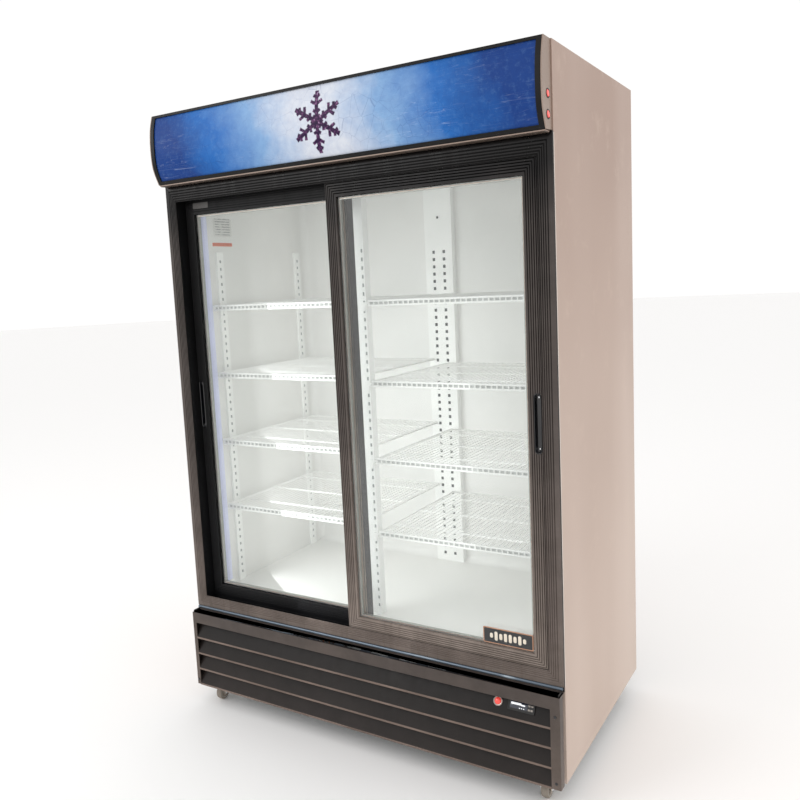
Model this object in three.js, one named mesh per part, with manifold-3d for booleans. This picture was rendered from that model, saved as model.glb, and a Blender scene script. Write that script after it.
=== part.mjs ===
// Two-section sliding glass door merchandiser: an upright refrigerated display cabinet on casters.
// Units are millimetres, +Z is up. The cabinet group has x = 0 in the middle, y = 0 at the front plane
// of the black door frame with +y towards the back, and z = 0 at the underside of the cabinet.
import * as THREE from "three";
import { mergeVertices } from "three/addons/utils/BufferGeometryUtils.js";
import Module from "manifold-3d";

// Overall size.
const cabinetWidth = 1326;
const cabinetDepth = 736;
const bodyHeight = 1935;
const casterHeight = 65;
const gap = 0.3; // left between pieces that touch

// Insulated body.
const skin = 8; // folded edge of the side panels beside the door frame and the machine compartment
const wallThickness = 46;
const rearWallThickness = 56;
const roofThickness = 60;
const linerThickness = 3;
const foamFloorBottom = 271;
const foamFloorThickness = 46;
const sidePanelFront = 6;
const past = 10; // how far a cutting block runs past the faces that it cuts

// Machine compartment.
const chassisSheet = 3;
const chassisFlange = 40;
const chassisBack = 718;
const casterPlate = { halfLength: 31, halfDepth: 27, thickness: 3 };
const kingPinRadius = 4;
const kingPinLength = 12;
const rearGrille = { halfWidth: 654, front: 722, back: 725, bottom: 8, top: 262 };
const rearSlot = { halfLength: 150, height: 14, pitch: 30, lowest: 60, rows: 6, columnPitch: 370 };
const glandPlace = [-600, 0, 34];

// Black door frame.
const frameBottom = 279.4;
const frameDepth = 75;
const jambWidth = 42;
const headBottom = 1663;
const lipThickness = 3;
const sillLipTop = 318;
const trackFloor = 291;
const railHeight = 5;
const railWidth = 3;
const dividerThickness = 2;

// Sliding doors: the right-hand one runs in the front track, the left-hand one in the rear track.
const doorThickness = 28;
const frontDoorFace = 5;
const rearDoorFace = 38;
const doorBottom = 300;
const doorTop = 1672;
const doorOuterEdge = 617;
const doorMeetingEdge = 26;
const stileWidth = 37;
const glassBottom = 353.7;
const glassTop = 1620.7;
const glassSetback = 5;
const glassThickness = 18;
const rollerRadius = 10;
const rollerWidth = 10;
const rollerBore = 2.5;
const rollerInset = 90;
const rollerPin = 2;
const pullBottom = 910;
const pullHeight = 155;
const pullWidth = 18;
const pullDepth = 14;
const pullSetback = 11; // from the door's outer edge to the middle of the pull

// Lit canopy above the doors.
const canopyBottom = 1714.6;
const canopyHalfWidth = 659.5;
const canopySheet = 3;
const bezelThickness = 4;
const lampRadius = 13;
const switchRadius = 8.8;
const switchHeights = [1803, 1754];
const switchDepth = -18;
const switchPivot = 655;
const switchTilt = 6; // degrees that a rocker leans when it is on

// Lower grille.
const grilleReach = 34.6;
const grilleHalfWidth = 661;
const grilleBottom = 1.8;
const grilleTop = 264.3;
const grilleSheet = 2.5;
const louvreLeft = -647;
const louvreRight = 634;
const louvrePitch = 56.8;
const louvreLip = 6;
const louvreDepth = 24;
const louvreRise = 44;
const sideReturnGap = 8; // between the grille's side returns and the cabinet
const ledgeSlot = { count: 13, pitch: 98, halfLength: 30, front: -27, back: -14 };

// Shelving.
const postHalfWidth = 23;
const postFront = 119;
const postDepth = 28;
const pillarHalfWidth = 54;
const pillarFront = 652;
const pilasterMiddles = { front: 175, rear: 613 };
const pilasterWidth = 32;
const pilasterDepth = 7.7;
const wallPilasterTop = 1500;
const shelfFront = 118;
const shelfBack = 645;
const shelfThickness = 6;
const shelfLip = 20;
const leftShelfHeights = [1320, 1087, 852, 620];
const rightShelfHeights = [1320, 1073, 830, 596];

// Casters.
const wheelRadius = 25;
const wheelWidth = 20;
const wheelTrail = 28;
const axleHeight = wheelRadius - casterHeight;
const casterPlaces = { front: 50, rear: 668 };
const casterInset = 600;

// Derived places.
const halfWidth = cabinetWidth / 2;
const jambInner = halfWidth - jambWidth;
const linerOuterX = halfWidth - wallThickness;
const linerInnerX = linerOuterX - linerThickness;
const linerBottom = foamFloorBottom + foamFloorThickness;
const floorTop = linerBottom + linerThickness;
const linerTop = bodyHeight - roofThickness;
const linerBack = cabinetDepth - rearWallThickness;
const backWall = linerBack - linerThickness;
const coverBottom = 1712;
const trackMiddles = [frontDoorFace + doorThickness / 2, rearDoorFace + doorThickness / 2];
const dividerFront = (frontDoorFace + doorThickness + rearDoorFace) / 2 - dividerThickness / 2;
const rollerHeight = trackFloor + railHeight + 0.4 + rollerRadius;

const wasm = await Module();
wasm.setup();

// ---- Shape helpers ----

function toSolid(geometry) {
  const bare = geometry.clone();
  bare.deleteAttribute("normal");
  bare.deleteAttribute("uv");
  const merged = mergeVertices(bare, 1e-4);
  const mesh = new wasm.Mesh({
    numProp: 3,
    vertProperties: merged.attributes.position.array,
    triVerts: new Uint32Array(merged.index.array),
  });
  return new wasm.Manifold(mesh);
}

function toGeometry(solid) {
  const mesh = solid.getMesh();
  const geometry = new THREE.BufferGeometry();
  geometry.setAttribute("position", new THREE.Float32BufferAttribute(mesh.vertProperties, 3));
  geometry.setIndex(new THREE.Uint32BufferAttribute(mesh.triVerts, 1));
  return geometry;
}

function join(...pieces) {
  return toGeometry(pieces.map(toSolid).reduce((sum, piece) => sum.add(piece)));
}

function cut(base, ...tools) {
  return toGeometry(tools.map(toSolid).reduce((rest, tool) => rest.subtract(tool), toSolid(base)));
}

function block([x0, x1], [y0, y1], [z0, z1]) {
  const geometry = new THREE.BoxGeometry(x1 - x0, y1 - y0, z1 - z0);
  return geometry.translate((x0 + x1) / 2, (y0 + y1) / 2, (z0 + z1) / 2);
}

// An outline pushed along one axis. Its points are (y, z) along x, (x, z) along y and (x, y) along z.
function prism(axis, outline, from, to) {
  const shape = new THREE.Shape(outline.map(([u, v]) => new THREE.Vector2(u, v)));
  const geometry = new THREE.ExtrudeGeometry(shape, { depth: to - from, bevelEnabled: false });
  const turned = new THREE.Matrix4();
  const x = new THREE.Vector3(1, 0, 0);
  const y = new THREE.Vector3(0, 1, 0);
  const z = new THREE.Vector3(0, 0, 1);
  if (axis === "x") {
    turned.makeBasis(y, z, x).setPosition(from, 0, 0);
  } else if (axis === "y") {
    turned.makeBasis(x, z, y.clone().negate()).setPosition(0, to, 0);
  } else {
    turned.setPosition(0, 0, from);
  }
  return geometry.applyMatrix4(turned);
}

// A profile of (radius, height along the axis) points turned round an axis through the origin.
function revolve(axis, profile, sides, start = 0) {
  const points = profile.map(([radius, height]) => new THREE.Vector2(radius, height));
  const geometry = new THREE.LatheGeometry(points, sides, start);
  if (axis === "x") {
    geometry.rotateZ(-Math.PI / 2);
  } else if (axis === "z") {
    geometry.rotateX(Math.PI / 2);
  }
  return geometry;
}

function rod(axis, radius, from, to, sides = 16) {
  return revolve(axis, [[0, from], [radius, from], [radius, to], [0, to]], sides);
}

function tube(axis, outer, inner, from, to, sides = 24) {
  return revolve(axis, [[inner, from], [outer, from], [outer, to], [inner, to], [inner, from]], sides);
}

const mirrored = (side, from, to) => (side > 0 ? [from, to] : [-to, -from]);

// ---- Insulated body ----

function outerCabinet() {
  const body = block([-halfWidth, halfWidth], [sidePanelFront + gap, cabinetDepth], [0, bodyHeight]);
  const inside = halfWidth - skin + gap;
  const cavity = block(
    [-linerOuterX - gap, linerOuterX + gap],
    [frameDepth, linerBack + gap],
    [linerBottom - gap, linerTop + gap],
  );
  const doorway = block([-inside, inside], [-past, frameDepth + gap], [frameBottom - gap, canopyBottom + 5]);
  const machineBay = block([-inside, inside], [-past, cabinetDepth + past], [-past, foamFloorBottom]);
  return cut(body, cavity, doorway, machineBay);
}

function innerLiner() {
  const outside = block(
    [-linerOuterX, linerOuterX],
    [frameDepth + 2 * gap, linerBack],
    [linerBottom, linerTop],
  );
  const inside = block(
    [-linerInnerX, linerInnerX],
    [0, backWall],
    [floorTop, linerTop - linerThickness],
  );
  return cut(outside, inside);
}

// The pressed steel pan under the machinery, with the fixed caster plates and their king pins.
function baseChassis() {
  const side = halfWidth - skin - 0.5;
  const depths = [sidePanelFront + 1, chassisBack];
  const { halfLength, halfDepth, thickness } = casterPlate;
  const pieces = [block([-side, side], depths, [0, chassisSheet])];
  for (const end of [-1, 1]) {
    pieces.push(block(mirrored(end, side - chassisSheet, side), depths, [0, chassisFlange]));
    for (const depth of Object.values(casterPlaces)) {
      const plate = block([-halfLength, halfLength], [-halfDepth, halfDepth], [-thickness, 1]);
      const kingPin = rod("z", kingPinRadius, -kingPinLength, 1, 10);
      pieces.push(...[plate, kingPin].map((piece) => piece.translate(end * casterInset, depth, 0)));
    }
  }
  return join(...pieces);
}

function rearServiceGrille() {
  const { halfWidth: half, front, back, bottom, top } = rearGrille;
  const slots = [];
  for (let row = 0; row < rearSlot.rows; row += 1) {
    const height = rearSlot.lowest + row * rearSlot.pitch;
    for (const column of [-1, 0, 1]) {
      const middle = column * rearSlot.columnPitch;
      const across = [middle - rearSlot.halfLength, middle + rearSlot.halfLength];
      slots.push(block(across, [front - past, back + past], [height, height + rearSlot.height]));
    }
  }
  const sheet = cut(block([-half, half], [front, back], [bottom, top]), ...slots);
  const gland = tube("y", 13, 5, front - past, back + past, 12).translate(...glandPlace);
  const glandHole = rod("y", 9, front - 2 * past, back + 2 * past, 12).translate(...glandPlace);
  return join(cut(sheet, glandHole), gland);
}

// ---- Refrigeration ----

const condenserMiddle = [-360, 126];
const condenserFanPlace = [condenserMiddle[0], 108, condenserMiddle[1]];
const evaporatorFanDepth = 230;
const fanSweep = 88;
const fanOpening = 96;

function compressor() {
  const shell = revolve("z", [
    [0, 0], [68, 0], [78, 14], [80, 60], [80, 122], [72, 152], [48, 172], [0, 180],
  ], 20).translate(0, 0, 12);
  const feet = block([-95, 95], [-60, 60], [0, 14]);
  return join(shell, feet).translate(condenserMiddle[0], 320, 3.6);
}

function condenserCoil() {
  const [middle] = condenserMiddle;
  const fins = block([middle - 188, middle + 188], [45, 105], [14, 238]);
  const endPlates = [-1, 1].map((side) => {
    const plate = mirrored(side, 186, 190).map((x) => x + middle);
    return block(plate, [40, 107], [3.4, 244]);
  });
  return join(fins, ...endPlates);
}

// A round collar with three arms that carry the motor behind the blades, along +axis from zero.
function fanMount(axis) {
  const collar = tube(axis, 98, 94, 0, 38);
  const motor = rod(axis, 34, 33, 78);
  const shaft = rod(axis, 3, 18, 34, 10);
  const arms = [0, 1, 2].map((turn) => {
    const arm = axis === "y"
      ? block([-4, 4], [33, 38], [30, 96])
      : block([-4, 4], [30, 96], [33, 38]);
    const angle = (turn * 2 * Math.PI) / 3;
    return axis === "y" ? arm.rotateY(angle) : arm.rotateZ(angle);
  });
  return [collar, motor, shaft, ...arms];
}

function fanBlades(axis) {
  const hub = tube("y", 24, 3.6, 6, 26, 16);
  const blades = [0, 1, 2, 3, 4].map((turn) => {
    const blade = block([-22, 22], [-1, 1], [22, fanSweep]).rotateZ(THREE.MathUtils.degToRad(26));
    return blade.translate(0, 16, 0).rotateY((turn * 2 * Math.PI) / 5);
  });
  const wheel = join(hub, ...blades);
  return axis === "y" ? wheel : wheel.rotateX(Math.PI / 2);
}

function condenserShroud() {
  const [middle, height] = condenserMiddle;
  const plateFront = condenserFanPlace[1];
  const plate = block([middle - 190, middle + 190], [plateFront, plateFront + 3], [3.4, 244]);
  const hole = rod("y", fanOpening, plateFront - past, plateFront + past, 24);
  hole.translate(middle, 0, height);
  const mount = fanMount("y").map((piece) => piece.translate(...condenserFanPlace));
  return join(cut(plate, hole), ...mount);
}

function evaporatorCoil() {
  const fins = block([-450, 450], [350, 600], [1732, 1846]);
  const endPlates = [-1, 1].map((side) => block(mirrored(side, 448, 453), [344, 606], [1726, 1868]));
  return join(fins, ...endPlates);
}

function evaporatorCover() {
  const tray = block([-598, 598], [110, 660], [coverBottom, coverBottom + 3]);
  const fascia = block([-598, 598], [110, 113], [coverBottom, 1868]);
  const fanHole = rod("z", fanOpening, coverBottom - past, coverBottom + past, 24);
  fanHole.translate(0, evaporatorFanDepth, 0);
  const slots = [-2, -1, 0, 1, 2].map((place) => (
    block([place * 200 - 70, place * 200 + 70], [612, 640], [coverBottom - 5, coverBottom + 8])
  ));
  const mount = fanMount("z").map((piece) => piece.translate(0, evaporatorFanDepth, coverBottom));
  return join(cut(join(tray, fascia), fanHole, ...slots), ...mount);
}

// ---- Black door frame ----

function frameJamb(side) {
  const outline = [
    [jambInner, 0], [halfWidth, 0], [halfWidth, sidePanelFront], [halfWidth - skin, sidePanelFront],
    [halfWidth - skin, frameDepth], [jambInner, frameDepth],
  ].map(([x, y]) => [side * x, y]);
  return prism("z", outline, frameBottom, canopyBottom + 4);
}

function frameSill() {
  const rib = dividerFront + dividerThickness;
  const rails = trackMiddles.map((middle) => [middle - railWidth / 2, middle + railWidth / 2]);
  const railTop = trackFloor + railHeight;
  const rearLip = frameDepth - 5;
  const outline = [
    [0, frameBottom], [frameDepth, frameBottom], [frameDepth, sillLipTop], [rearLip, sillLipTop],
    [rearLip, trackFloor],
    [rails[1][1], trackFloor], [rails[1][1], railTop], [rails[1][0], railTop], [rails[1][0], trackFloor],
    [rib, trackFloor], [rib, trackFloor + 15], [dividerFront, trackFloor + 15], [dividerFront, trackFloor],
    [rails[0][1], trackFloor], [rails[0][1], railTop], [rails[0][0], railTop], [rails[0][0], trackFloor],
    [lipThickness, trackFloor], [lipThickness, sillLipTop], [0, sillLipTop],
  ];
  return prism("x", outline, gap - jambInner, jambInner - gap);
}

function frameHead() {
  const channelTop = headBottom + 17;
  const rib = dividerFront + dividerThickness;
  const rearLip = frameDepth - 5;
  const outline = [
    [0, headBottom], [lipThickness, headBottom], [lipThickness, channelTop], [dividerFront, channelTop],
    [dividerFront, headBottom + 3], [rib, headBottom + 3], [rib, channelTop], [rearLip, channelTop],
    [rearLip, headBottom], [frameDepth, headBottom], [frameDepth, canopyBottom + 4], [0, canopyBottom + 4],
  ];
  return prism("x", outline, gap - jambInner, jambInner - gap);
}

// ---- Sliding doors, made for the right-hand side and mirrored for the left ----

function doorSpan(side) {
  return mirrored(side, -doorMeetingEdge, doorOuterEdge);
}

function rollerPlaces(side) {
  return [-doorMeetingEdge + rollerInset, doorOuterEdge - rollerInset].map((x) => side * x);
}

function doorFrame(side, face) {
  const middle = face + doorThickness / 2;
  const slab = block(doorSpan(side), [face, face + doorThickness], [doorBottom, doorTop]);
  const opening = block(
    mirrored(side, stileWidth - doorMeetingEdge, doorOuterEdge - stileWidth),
    [face - 10, face + doorThickness + 10],
    [glassBottom, glassTop],
  );
  const pullMiddle = side * (doorOuterEdge - pullSetback);
  const pullPocket = block(
    [pullMiddle - pullWidth / 2 - gap, pullMiddle + pullWidth / 2 + gap],
    [face - 5, face + pullDepth + gap],
    [pullBottom - gap, pullBottom + pullHeight + gap],
  );
  const pockets = rollerPlaces(side).map((x) => (
    block([x - 14, x + 14], [middle - 7, middle + 7], [doorBottom - 5, doorBottom + 20])
  ));
  const pins = rollerPlaces(side).map((x) => (
    rod("y", rollerPin, middle - 8, middle + 8, 10).translate(x, 0, rollerHeight)
  ));
  return join(cut(slab, opening, pullPocket, ...pockets), ...pins);
}

function doorGlass(side, face) {
  return block(
    mirrored(side, stileWidth - doorMeetingEdge + gap, doorOuterEdge - stileWidth - gap),
    [face + glassSetback, face + glassSetback + glassThickness],
    [glassBottom + gap, glassTop - gap],
  );
}

// A recessed finger pull: a cup let into the stile, with a thin flange round its mouth.
function doorPull(side, face) {
  const middle = side * (doorOuterEdge - pullSetback);
  const wall = 2;
  const half = pullWidth / 2;
  const top = pullBottom + pullHeight;
  const cup = block([middle - half, middle + half], [face - 1, face + pullDepth], [pullBottom, top]);
  const flange = block(
    [middle - half - 1.5, middle + half + 1.5],
    [face - 1.3, face - gap],
    [pullBottom - 3, top + 3],
  );
  const hollow = block(
    [middle - half + wall, middle + half - wall],
    [face - 5, face + pullDepth - wall],
    [pullBottom + wall, top - wall],
  );
  return cut(join(cup, flange), hollow);
}

function doorRoller() {
  return tube("y", rollerRadius, rollerBore, -rollerWidth / 2, rollerWidth / 2, 20);
}

// ---- Canopy ----

const canopyCurve = new THREE.SplineCurve([
  new THREE.Vector2(-32, canopyBottom + 3.4),
  new THREE.Vector2(-52.5, 1768),
  new THREE.Vector2(-57, 1828),
  new THREE.Vector2(-52.5, 1888),
  new THREE.Vector2(-40, bodyHeight),
]).getPoints(12);
const canopyReach = Math.max(...canopyCurve.map((point) => -point.x));

// The curved front, set back by an amount, as (y, z) points from one height to another.
function canopyFront(setback, bottom = canopyCurve[0].y, top = bodyHeight) {
  const heights = canopyCurve.map((point) => point.y).filter((z) => z > bottom && z < top);
  return [bottom, ...heights, top].map((z) => {
    const next = canopyCurve.findIndex((point, index) => index > 0 && point.y >= z - 1e-6);
    const [low, high] = [canopyCurve[next - 1], canopyCurve[next]];
    const share = (z - low.y) / (high.y - low.y);
    return [THREE.MathUtils.lerp(low.x, high.x, share) + setback, z];
  });
}

function canopySheetOutline(setback, thickness, bottom, top) {
  return [...canopyFront(setback, bottom, top), ...canopyFront(setback + thickness, bottom, top).reverse()];
}

function canopyHousing() {
  const half = canopyHalfWidth - canopySheet - 0.5;
  const back = sidePanelFront;
  const outline = [
    [-31, canopyBottom], [back, canopyBottom], [back, bodyHeight], [-35.5, bodyHeight],
    [-35.5, bodyHeight - canopySheet], [back - canopySheet, bodyHeight - canopySheet],
    [back - canopySheet, canopyBottom + canopySheet], [-31, canopyBottom + canopySheet],
  ];
  const frameTop = canopyBottom + 4;
  const shell = cut(
    prism("x", outline, -half, half),
    block([-700, 700], [-0.5, 20], [canopyBottom - 5, frameTop + gap]),
  );
  const web = block([-half, half], [-3.5, -0.5], [canopyBottom + 1, frameTop + 2]);
  const shelf = block([-half, half], [-3.5, back - 1], [frameTop + gap, frameTop + gap + canopySheet]);
  const holders = [-1, 1].map((side) => block(mirrored(side, 600.6, 616), [-34, back - 2], [1808, 1844]));
  return join(shell, web, shelf, ...holders);
}

function canopyBezel() {
  const half = canopyHalfWidth - canopySheet - 0.5;
  const band = prism("x", canopySheetOutline(0, bezelThickness), -half, half);
  const window = block([-half + 14, half - 14], [-90, 0], [canopyBottom + 14, bodyHeight - 9]);
  return cut(band, window);
}

function canopyFacePanel() {
  const setback = bezelThickness + gap;
  const outline = canopySheetOutline(setback, canopySheet, canopyBottom + 4.2, bodyHeight - 3.6);
  return prism("x", outline, -650, 650);
}

function canopyEndCap(side) {
  const outline = [...canopyFront(0), [sidePanelFront, bodyHeight], [sidePanelFront, canopyBottom + 5.4]];
  const plate = prism("x", outline, ...mirrored(side, canopyHalfWidth - canopySheet, canopyHalfWidth));
  if (side < 0) {
    return plate;
  }
  const holes = switchHeights.map((height) => (
    rod("x", switchRadius + 1, 600, 700, 24).translate(0, switchDepth, height)
  ));
  return cut(plate, ...holes);
}

function canopyLampTube() {
  return rod("x", lampRadius, -600, 600, 16);
}

// A round rocker, pivoted on the y axis through its own origin.
function rockerSwitch() {
  return revolve("x", [[0, -6], [switchRadius, -6], [switchRadius, 6], [0, 7.4]], 24);
}

// ---- Lower grille and controls ----

const louvreTops = [0, 1, 2, 3].map((row) => grilleBottom + louvreLip + row * louvrePitch - 1);

function slotPlaces() {
  const { count, pitch } = ledgeSlot;
  return Array.from({ length: count }, (_, index) => (index - (count - 1) / 2) * pitch);
}

// The frame of a louvre blade: u runs along x, v up the slope, and w out of its front face.
function bladeFrame(place) {
  const slope = Math.atan2(louvreDepth, louvreRise);
  const along = new THREE.Vector3(1, 0, 0);
  const up = new THREE.Vector3(0, Math.sin(slope), Math.cos(slope));
  const out = new THREE.Vector3(0, -Math.cos(slope), Math.sin(slope));
  const matrix = new THREE.Matrix4().makeBasis(along, up, out.clone());
  matrix.setPosition(place, -grilleReach, louvreTops[3]);
  return matrix;
}

const controlHeight = 34; // up the slope of the top blade
const lampPlace = 479;
const controllerPlace = 548;

function grillePanel() {
  const folded = grilleHalfWidth - grilleSheet;
  const outside = block(
    [-grilleHalfWidth, grilleHalfWidth],
    [-grilleReach, -gap],
    [grilleBottom, grilleTop],
  );
  const upTo = [-past, grilleTop - grilleSheet];
  const inside = block([-folded, folded], [grilleSheet - grilleReach, past], upTo);
  const shadowGap = block([-halfWidth, halfWidth], [-sideReturnGap, past], upTo);
  const bays = louvreTops.map((top) => (
    block([louvreLeft, louvreRight], [-50, -25], [top, top + louvrePitch - louvreLip])
  ));
  const slots = slotPlaces().map((x) => block(
    [x - ledgeSlot.halfLength, x + ledgeSlot.halfLength],
    [ledgeSlot.front, ledgeSlot.back],
    [grilleTop - past, grilleTop + past],
  ));
  const upstand = block(
    [1 - grilleHalfWidth, grilleHalfWidth - 1],
    [-4, -2 * gap],
    [grilleTop - 1, grilleTop + 10],
  );
  const blades = louvreTops.map((top) => {
    const foot = 0.6 - grilleReach;
    const outline = [
      [foot, top - 3], [foot + grilleSheet - 1, top - 3],
      [foot + louvreDepth + 1.6, top + louvreRise], [foot + louvreDepth, top + louvreRise],
      [foot, top - 0.5],
    ];
    return prism("x", outline, louvreLeft - 1, louvreRight + 1);
  });
  const panel = join(cut(outside, inside, shadowGap, ...bays, ...slots), upstand, ...blades);
  const lampHole = rod("z", 10.4, -10, 10, 16).translate(0, controlHeight, 0);
  const controllerHole = block([-35.4, 35.4], [controlHeight - 12.4, controlHeight + 12.4], [-10, 10]);
  return cut(
    panel,
    lampHole.applyMatrix4(bladeFrame(lampPlace)),
    controllerHole.applyMatrix4(bladeFrame(controllerPlace)),
  );
}

function pilotLamp() {
  return revolve("z", [
    [0, -22], [9.8, -22], [9.8, 0.4], [14, 0.4], [14, 2.4], [10, 4.4], [8, 4.4], [0, 6.4],
  ], 20);
}

function temperatureController() {
  const body = block([-34.8, 34.8], [-11.8, 11.8], [-30, 1]);
  const bezel = block([-39, 39], [-15, 15], [0.4, 4.4]);
  return join(body, bezel);
}

// ---- Interior ----

const standingHeight = [floorTop + gap, coverBottom - gap];

function wallPilaster(side, depth) {
  return block(
    mirrored(side, linerInnerX - gap - pilasterDepth, linerInnerX - gap),
    [depth - pilasterWidth / 2, depth + pilasterWidth / 2],
    [standingHeight[0], wallPilasterTop],
  );
}

function centreFrontPost() {
  return block([-postHalfWidth, postHalfWidth], [postFront, postFront + postDepth], standingHeight);
}

function centreRearPillar() {
  return block([-pillarHalfWidth, pillarHalfWidth], [pillarFront, backWall - gap], standingHeight);
}

// A welded wire shelf: a rimmed deck of bars running front to back, and a turned-down front lip.
function wireShelf(side, height) {
  const [left, right] = mirrored(side, postHalfWidth + 2.5, linerInnerX - pilasterDepth - 2);
  const rim = 5;
  const bar = 4;
  const spaces = 9;
  const pitch = (right - left - 2 * rim + bar) / spaces;
  const middleBar = (shelfFront + shelfBack) / 2;
  const holes = [];
  for (let index = 0; index < spaces; index += 1) {
    const from = left + rim + index * pitch;
    const across = [from, from + pitch - bar];
    const through = [height - 2 * shelfThickness, height + shelfThickness];
    holes.push(block(across, [shelfFront + rim, middleBar - rim / 2], through));
    holes.push(block(across, [middleBar + rim / 2, shelfBack - rim], through));
  }
  const plate = block([left, right], [shelfFront, shelfBack], [height - shelfThickness, height]);
  const lip = block([left, right], [shelfFront, shelfFront + 4], [height - shelfLip, height - 1]);
  return join(cut(plate, ...holes), lip);
}

function ledBar(side) {
  const wall = linerInnerX - gap;
  const outline = [[wall, 84], [wall, 118], [wall - 10, 118], [wall - 17, 100], [wall - 17, 84]];
  return prism("z", outline.map(([x, y]) => [side * x, y]), 335, 1650);
}

// ---- Casters, about the swivel axis, trailing towards the front ----

function casterFork() {
  const head = tube("z", 21, 4.6, -9.3, -3.4, 16);
  const armOutline = [[14, -8], [14, -14], [-20, -47], [-36, -47], [-36, -34], [-16, -8]];
  const arms = [-1, 1].map((side) => prism("x", armOutline, ...mirrored(side, 13, 15.5)));
  const axle = rod("x", 3, -15, 15, 12).translate(0, -wheelTrail, axleHeight);
  return join(head, ...arms, axle);
}

function casterWheel() {
  const sides = 20;
  const tread = wheelRadius / Math.cos(Math.PI / sides); // the flats of the faceted tyre meet the floor
  const half = wheelWidth / 2;
  return revolve("x", [
    [3.4, -half], [tread - 2, -half], [tread, 2 - half], [tread, half - 2], [tread - 2, half],
    [3.4, half], [3.4, -half],
  ], sides, Math.PI / sides);
}

// ---- Assembly ----

const finishes = {
  beigeSteel: { color: 0xc9b1a3, roughness: 0.42, metalness: 0.35 },
  whiteLiner: { color: 0xe9eae6, roughness: 0.5, metalness: 0.0 },
  blackFrame: { color: 0x2b2826, roughness: 0.38, metalness: 0.3 },
  blackPlastic: { color: 0x171717, roughness: 0.45, metalness: 0.0 },
  glass: { color: 0xdfe8e6, roughness: 0.05, metalness: 0.0, transparent: true, opacity: 0.3 },
  whiteWire: { color: 0xf3f3f0, roughness: 0.4, metalness: 0.0 },
  blueFace: { color: 0x2e6fb8, roughness: 0.25, metalness: 0.0 },
  lampWhite: { color: 0xf6f7ff, roughness: 0.3, metalness: 0.0 },
  redPlastic: { color: 0xd8433c, roughness: 0.35, metalness: 0.0 },
  galvanised: { color: 0x9fa3a5, roughness: 0.5, metalness: 0.8 },
  aluminium: { color: 0xb8bcc0, roughness: 0.45, metalness: 0.85 },
  copperBlack: { color: 0x222324, roughness: 0.55, metalness: 0.4 },
  nylon: { color: 0xe5e3da, roughness: 0.6, metalness: 0.0 },
  tyre: { color: 0x4a3b34, roughness: 0.75, metalness: 0.0 },
};

function part(parent, name, geometry, finish, position = [0, 0, 0]) {
  const mesh = new THREE.Mesh(geometry, new THREE.MeshStandardMaterial(finishes[finish]));
  mesh.name = name;
  mesh.position.set(...position);
  parent.add(mesh);
  return mesh;
}

const merchandiser = new THREE.Group();
const cabinet = new THREE.Group();
cabinet.position.set(0, -(cabinetDepth - canopyReach) / 2, casterHeight);
merchandiser.add(cabinet);
const sides = { left: -1, right: 1 };

part(cabinet, "outer_cabinet", outerCabinet(), "beigeSteel");
part(cabinet, "inner_liner", innerLiner(), "whiteLiner");
part(cabinet, "base_chassis", baseChassis(), "galvanised");
part(cabinet, "rear_service_grille", rearServiceGrille(), "galvanised");

part(cabinet, "compressor", compressor(), "copperBlack");
part(cabinet, "condenser_coil", condenserCoil(), "copperBlack");
part(cabinet, "condenser_fan_shroud", condenserShroud(), "galvanised");
part(cabinet, "condenser_fan_blades", fanBlades("y"), "aluminium", condenserFanPlace);
part(cabinet, "evaporator_coil", evaporatorCoil(), "aluminium");
part(cabinet, "evaporator_cover", evaporatorCover(), "whiteLiner");
const evaporatorFanPlace = [0, evaporatorFanDepth, coverBottom];
part(cabinet, "evaporator_fan_blades", fanBlades("z"), "blackPlastic", evaporatorFanPlace);

part(cabinet, "frame_head", frameHead(), "blackFrame");
part(cabinet, "frame_sill", frameSill(), "blackFrame");
for (const [name, side] of Object.entries(sides)) {
  part(cabinet, `frame_jamb_${name}`, frameJamb(side), "blackFrame");
}

const doors = { front_door: [1, frontDoorFace], rear_door: [-1, rearDoorFace] };
for (const [name, [side, face]] of Object.entries(doors)) {
  part(cabinet, `${name}_frame`, doorFrame(side, face), "blackFrame");
  part(cabinet, `${name}_glass`, doorGlass(side, face), "glass");
  part(cabinet, `${name}_pull`, doorPull(side, face), "blackPlastic");
  rollerPlaces(side).forEach((x, index) => {
    const label = index === 0 ? "meeting" : "outer";
    const place = [x, face + doorThickness / 2, rollerHeight];
    part(cabinet, `${name}_roller_${label}`, doorRoller(), "nylon", place);
  });
}

part(cabinet, "canopy_housing", canopyHousing(), "beigeSteel");
part(cabinet, "canopy_bezel", canopyBezel(), "blackFrame");
part(cabinet, "canopy_face_panel", canopyFacePanel(), "blueFace");
for (const [name, side] of Object.entries(sides)) {
  part(cabinet, `canopy_end_cap_${name}`, canopyEndCap(side), "beigeSteel");
}
part(cabinet, "canopy_lamp_tube", canopyLampTube(), "lampWhite", [0, -20, 1826]);
["upper", "lower"].forEach((name, index) => {
  const place = [switchPivot, switchDepth, switchHeights[index]];
  const rocker = part(cabinet, `light_switch_${name}`, rockerSwitch(), "redPlastic", place);
  rocker.rotation.y = -THREE.MathUtils.degToRad(switchTilt);
});

part(cabinet, "grille_panel", grillePanel(), "blackFrame");
part(cabinet, "pilot_lamp", pilotLamp(), "redPlastic").applyMatrix4(
  bladeFrame(lampPlace).multiply(new THREE.Matrix4().makeTranslation(0, controlHeight, 0)),
);
part(cabinet, "temperature_controller", temperatureController(), "blackPlastic").applyMatrix4(
  bladeFrame(controllerPlace).multiply(new THREE.Matrix4().makeTranslation(0, controlHeight, 0)),
);

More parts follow.
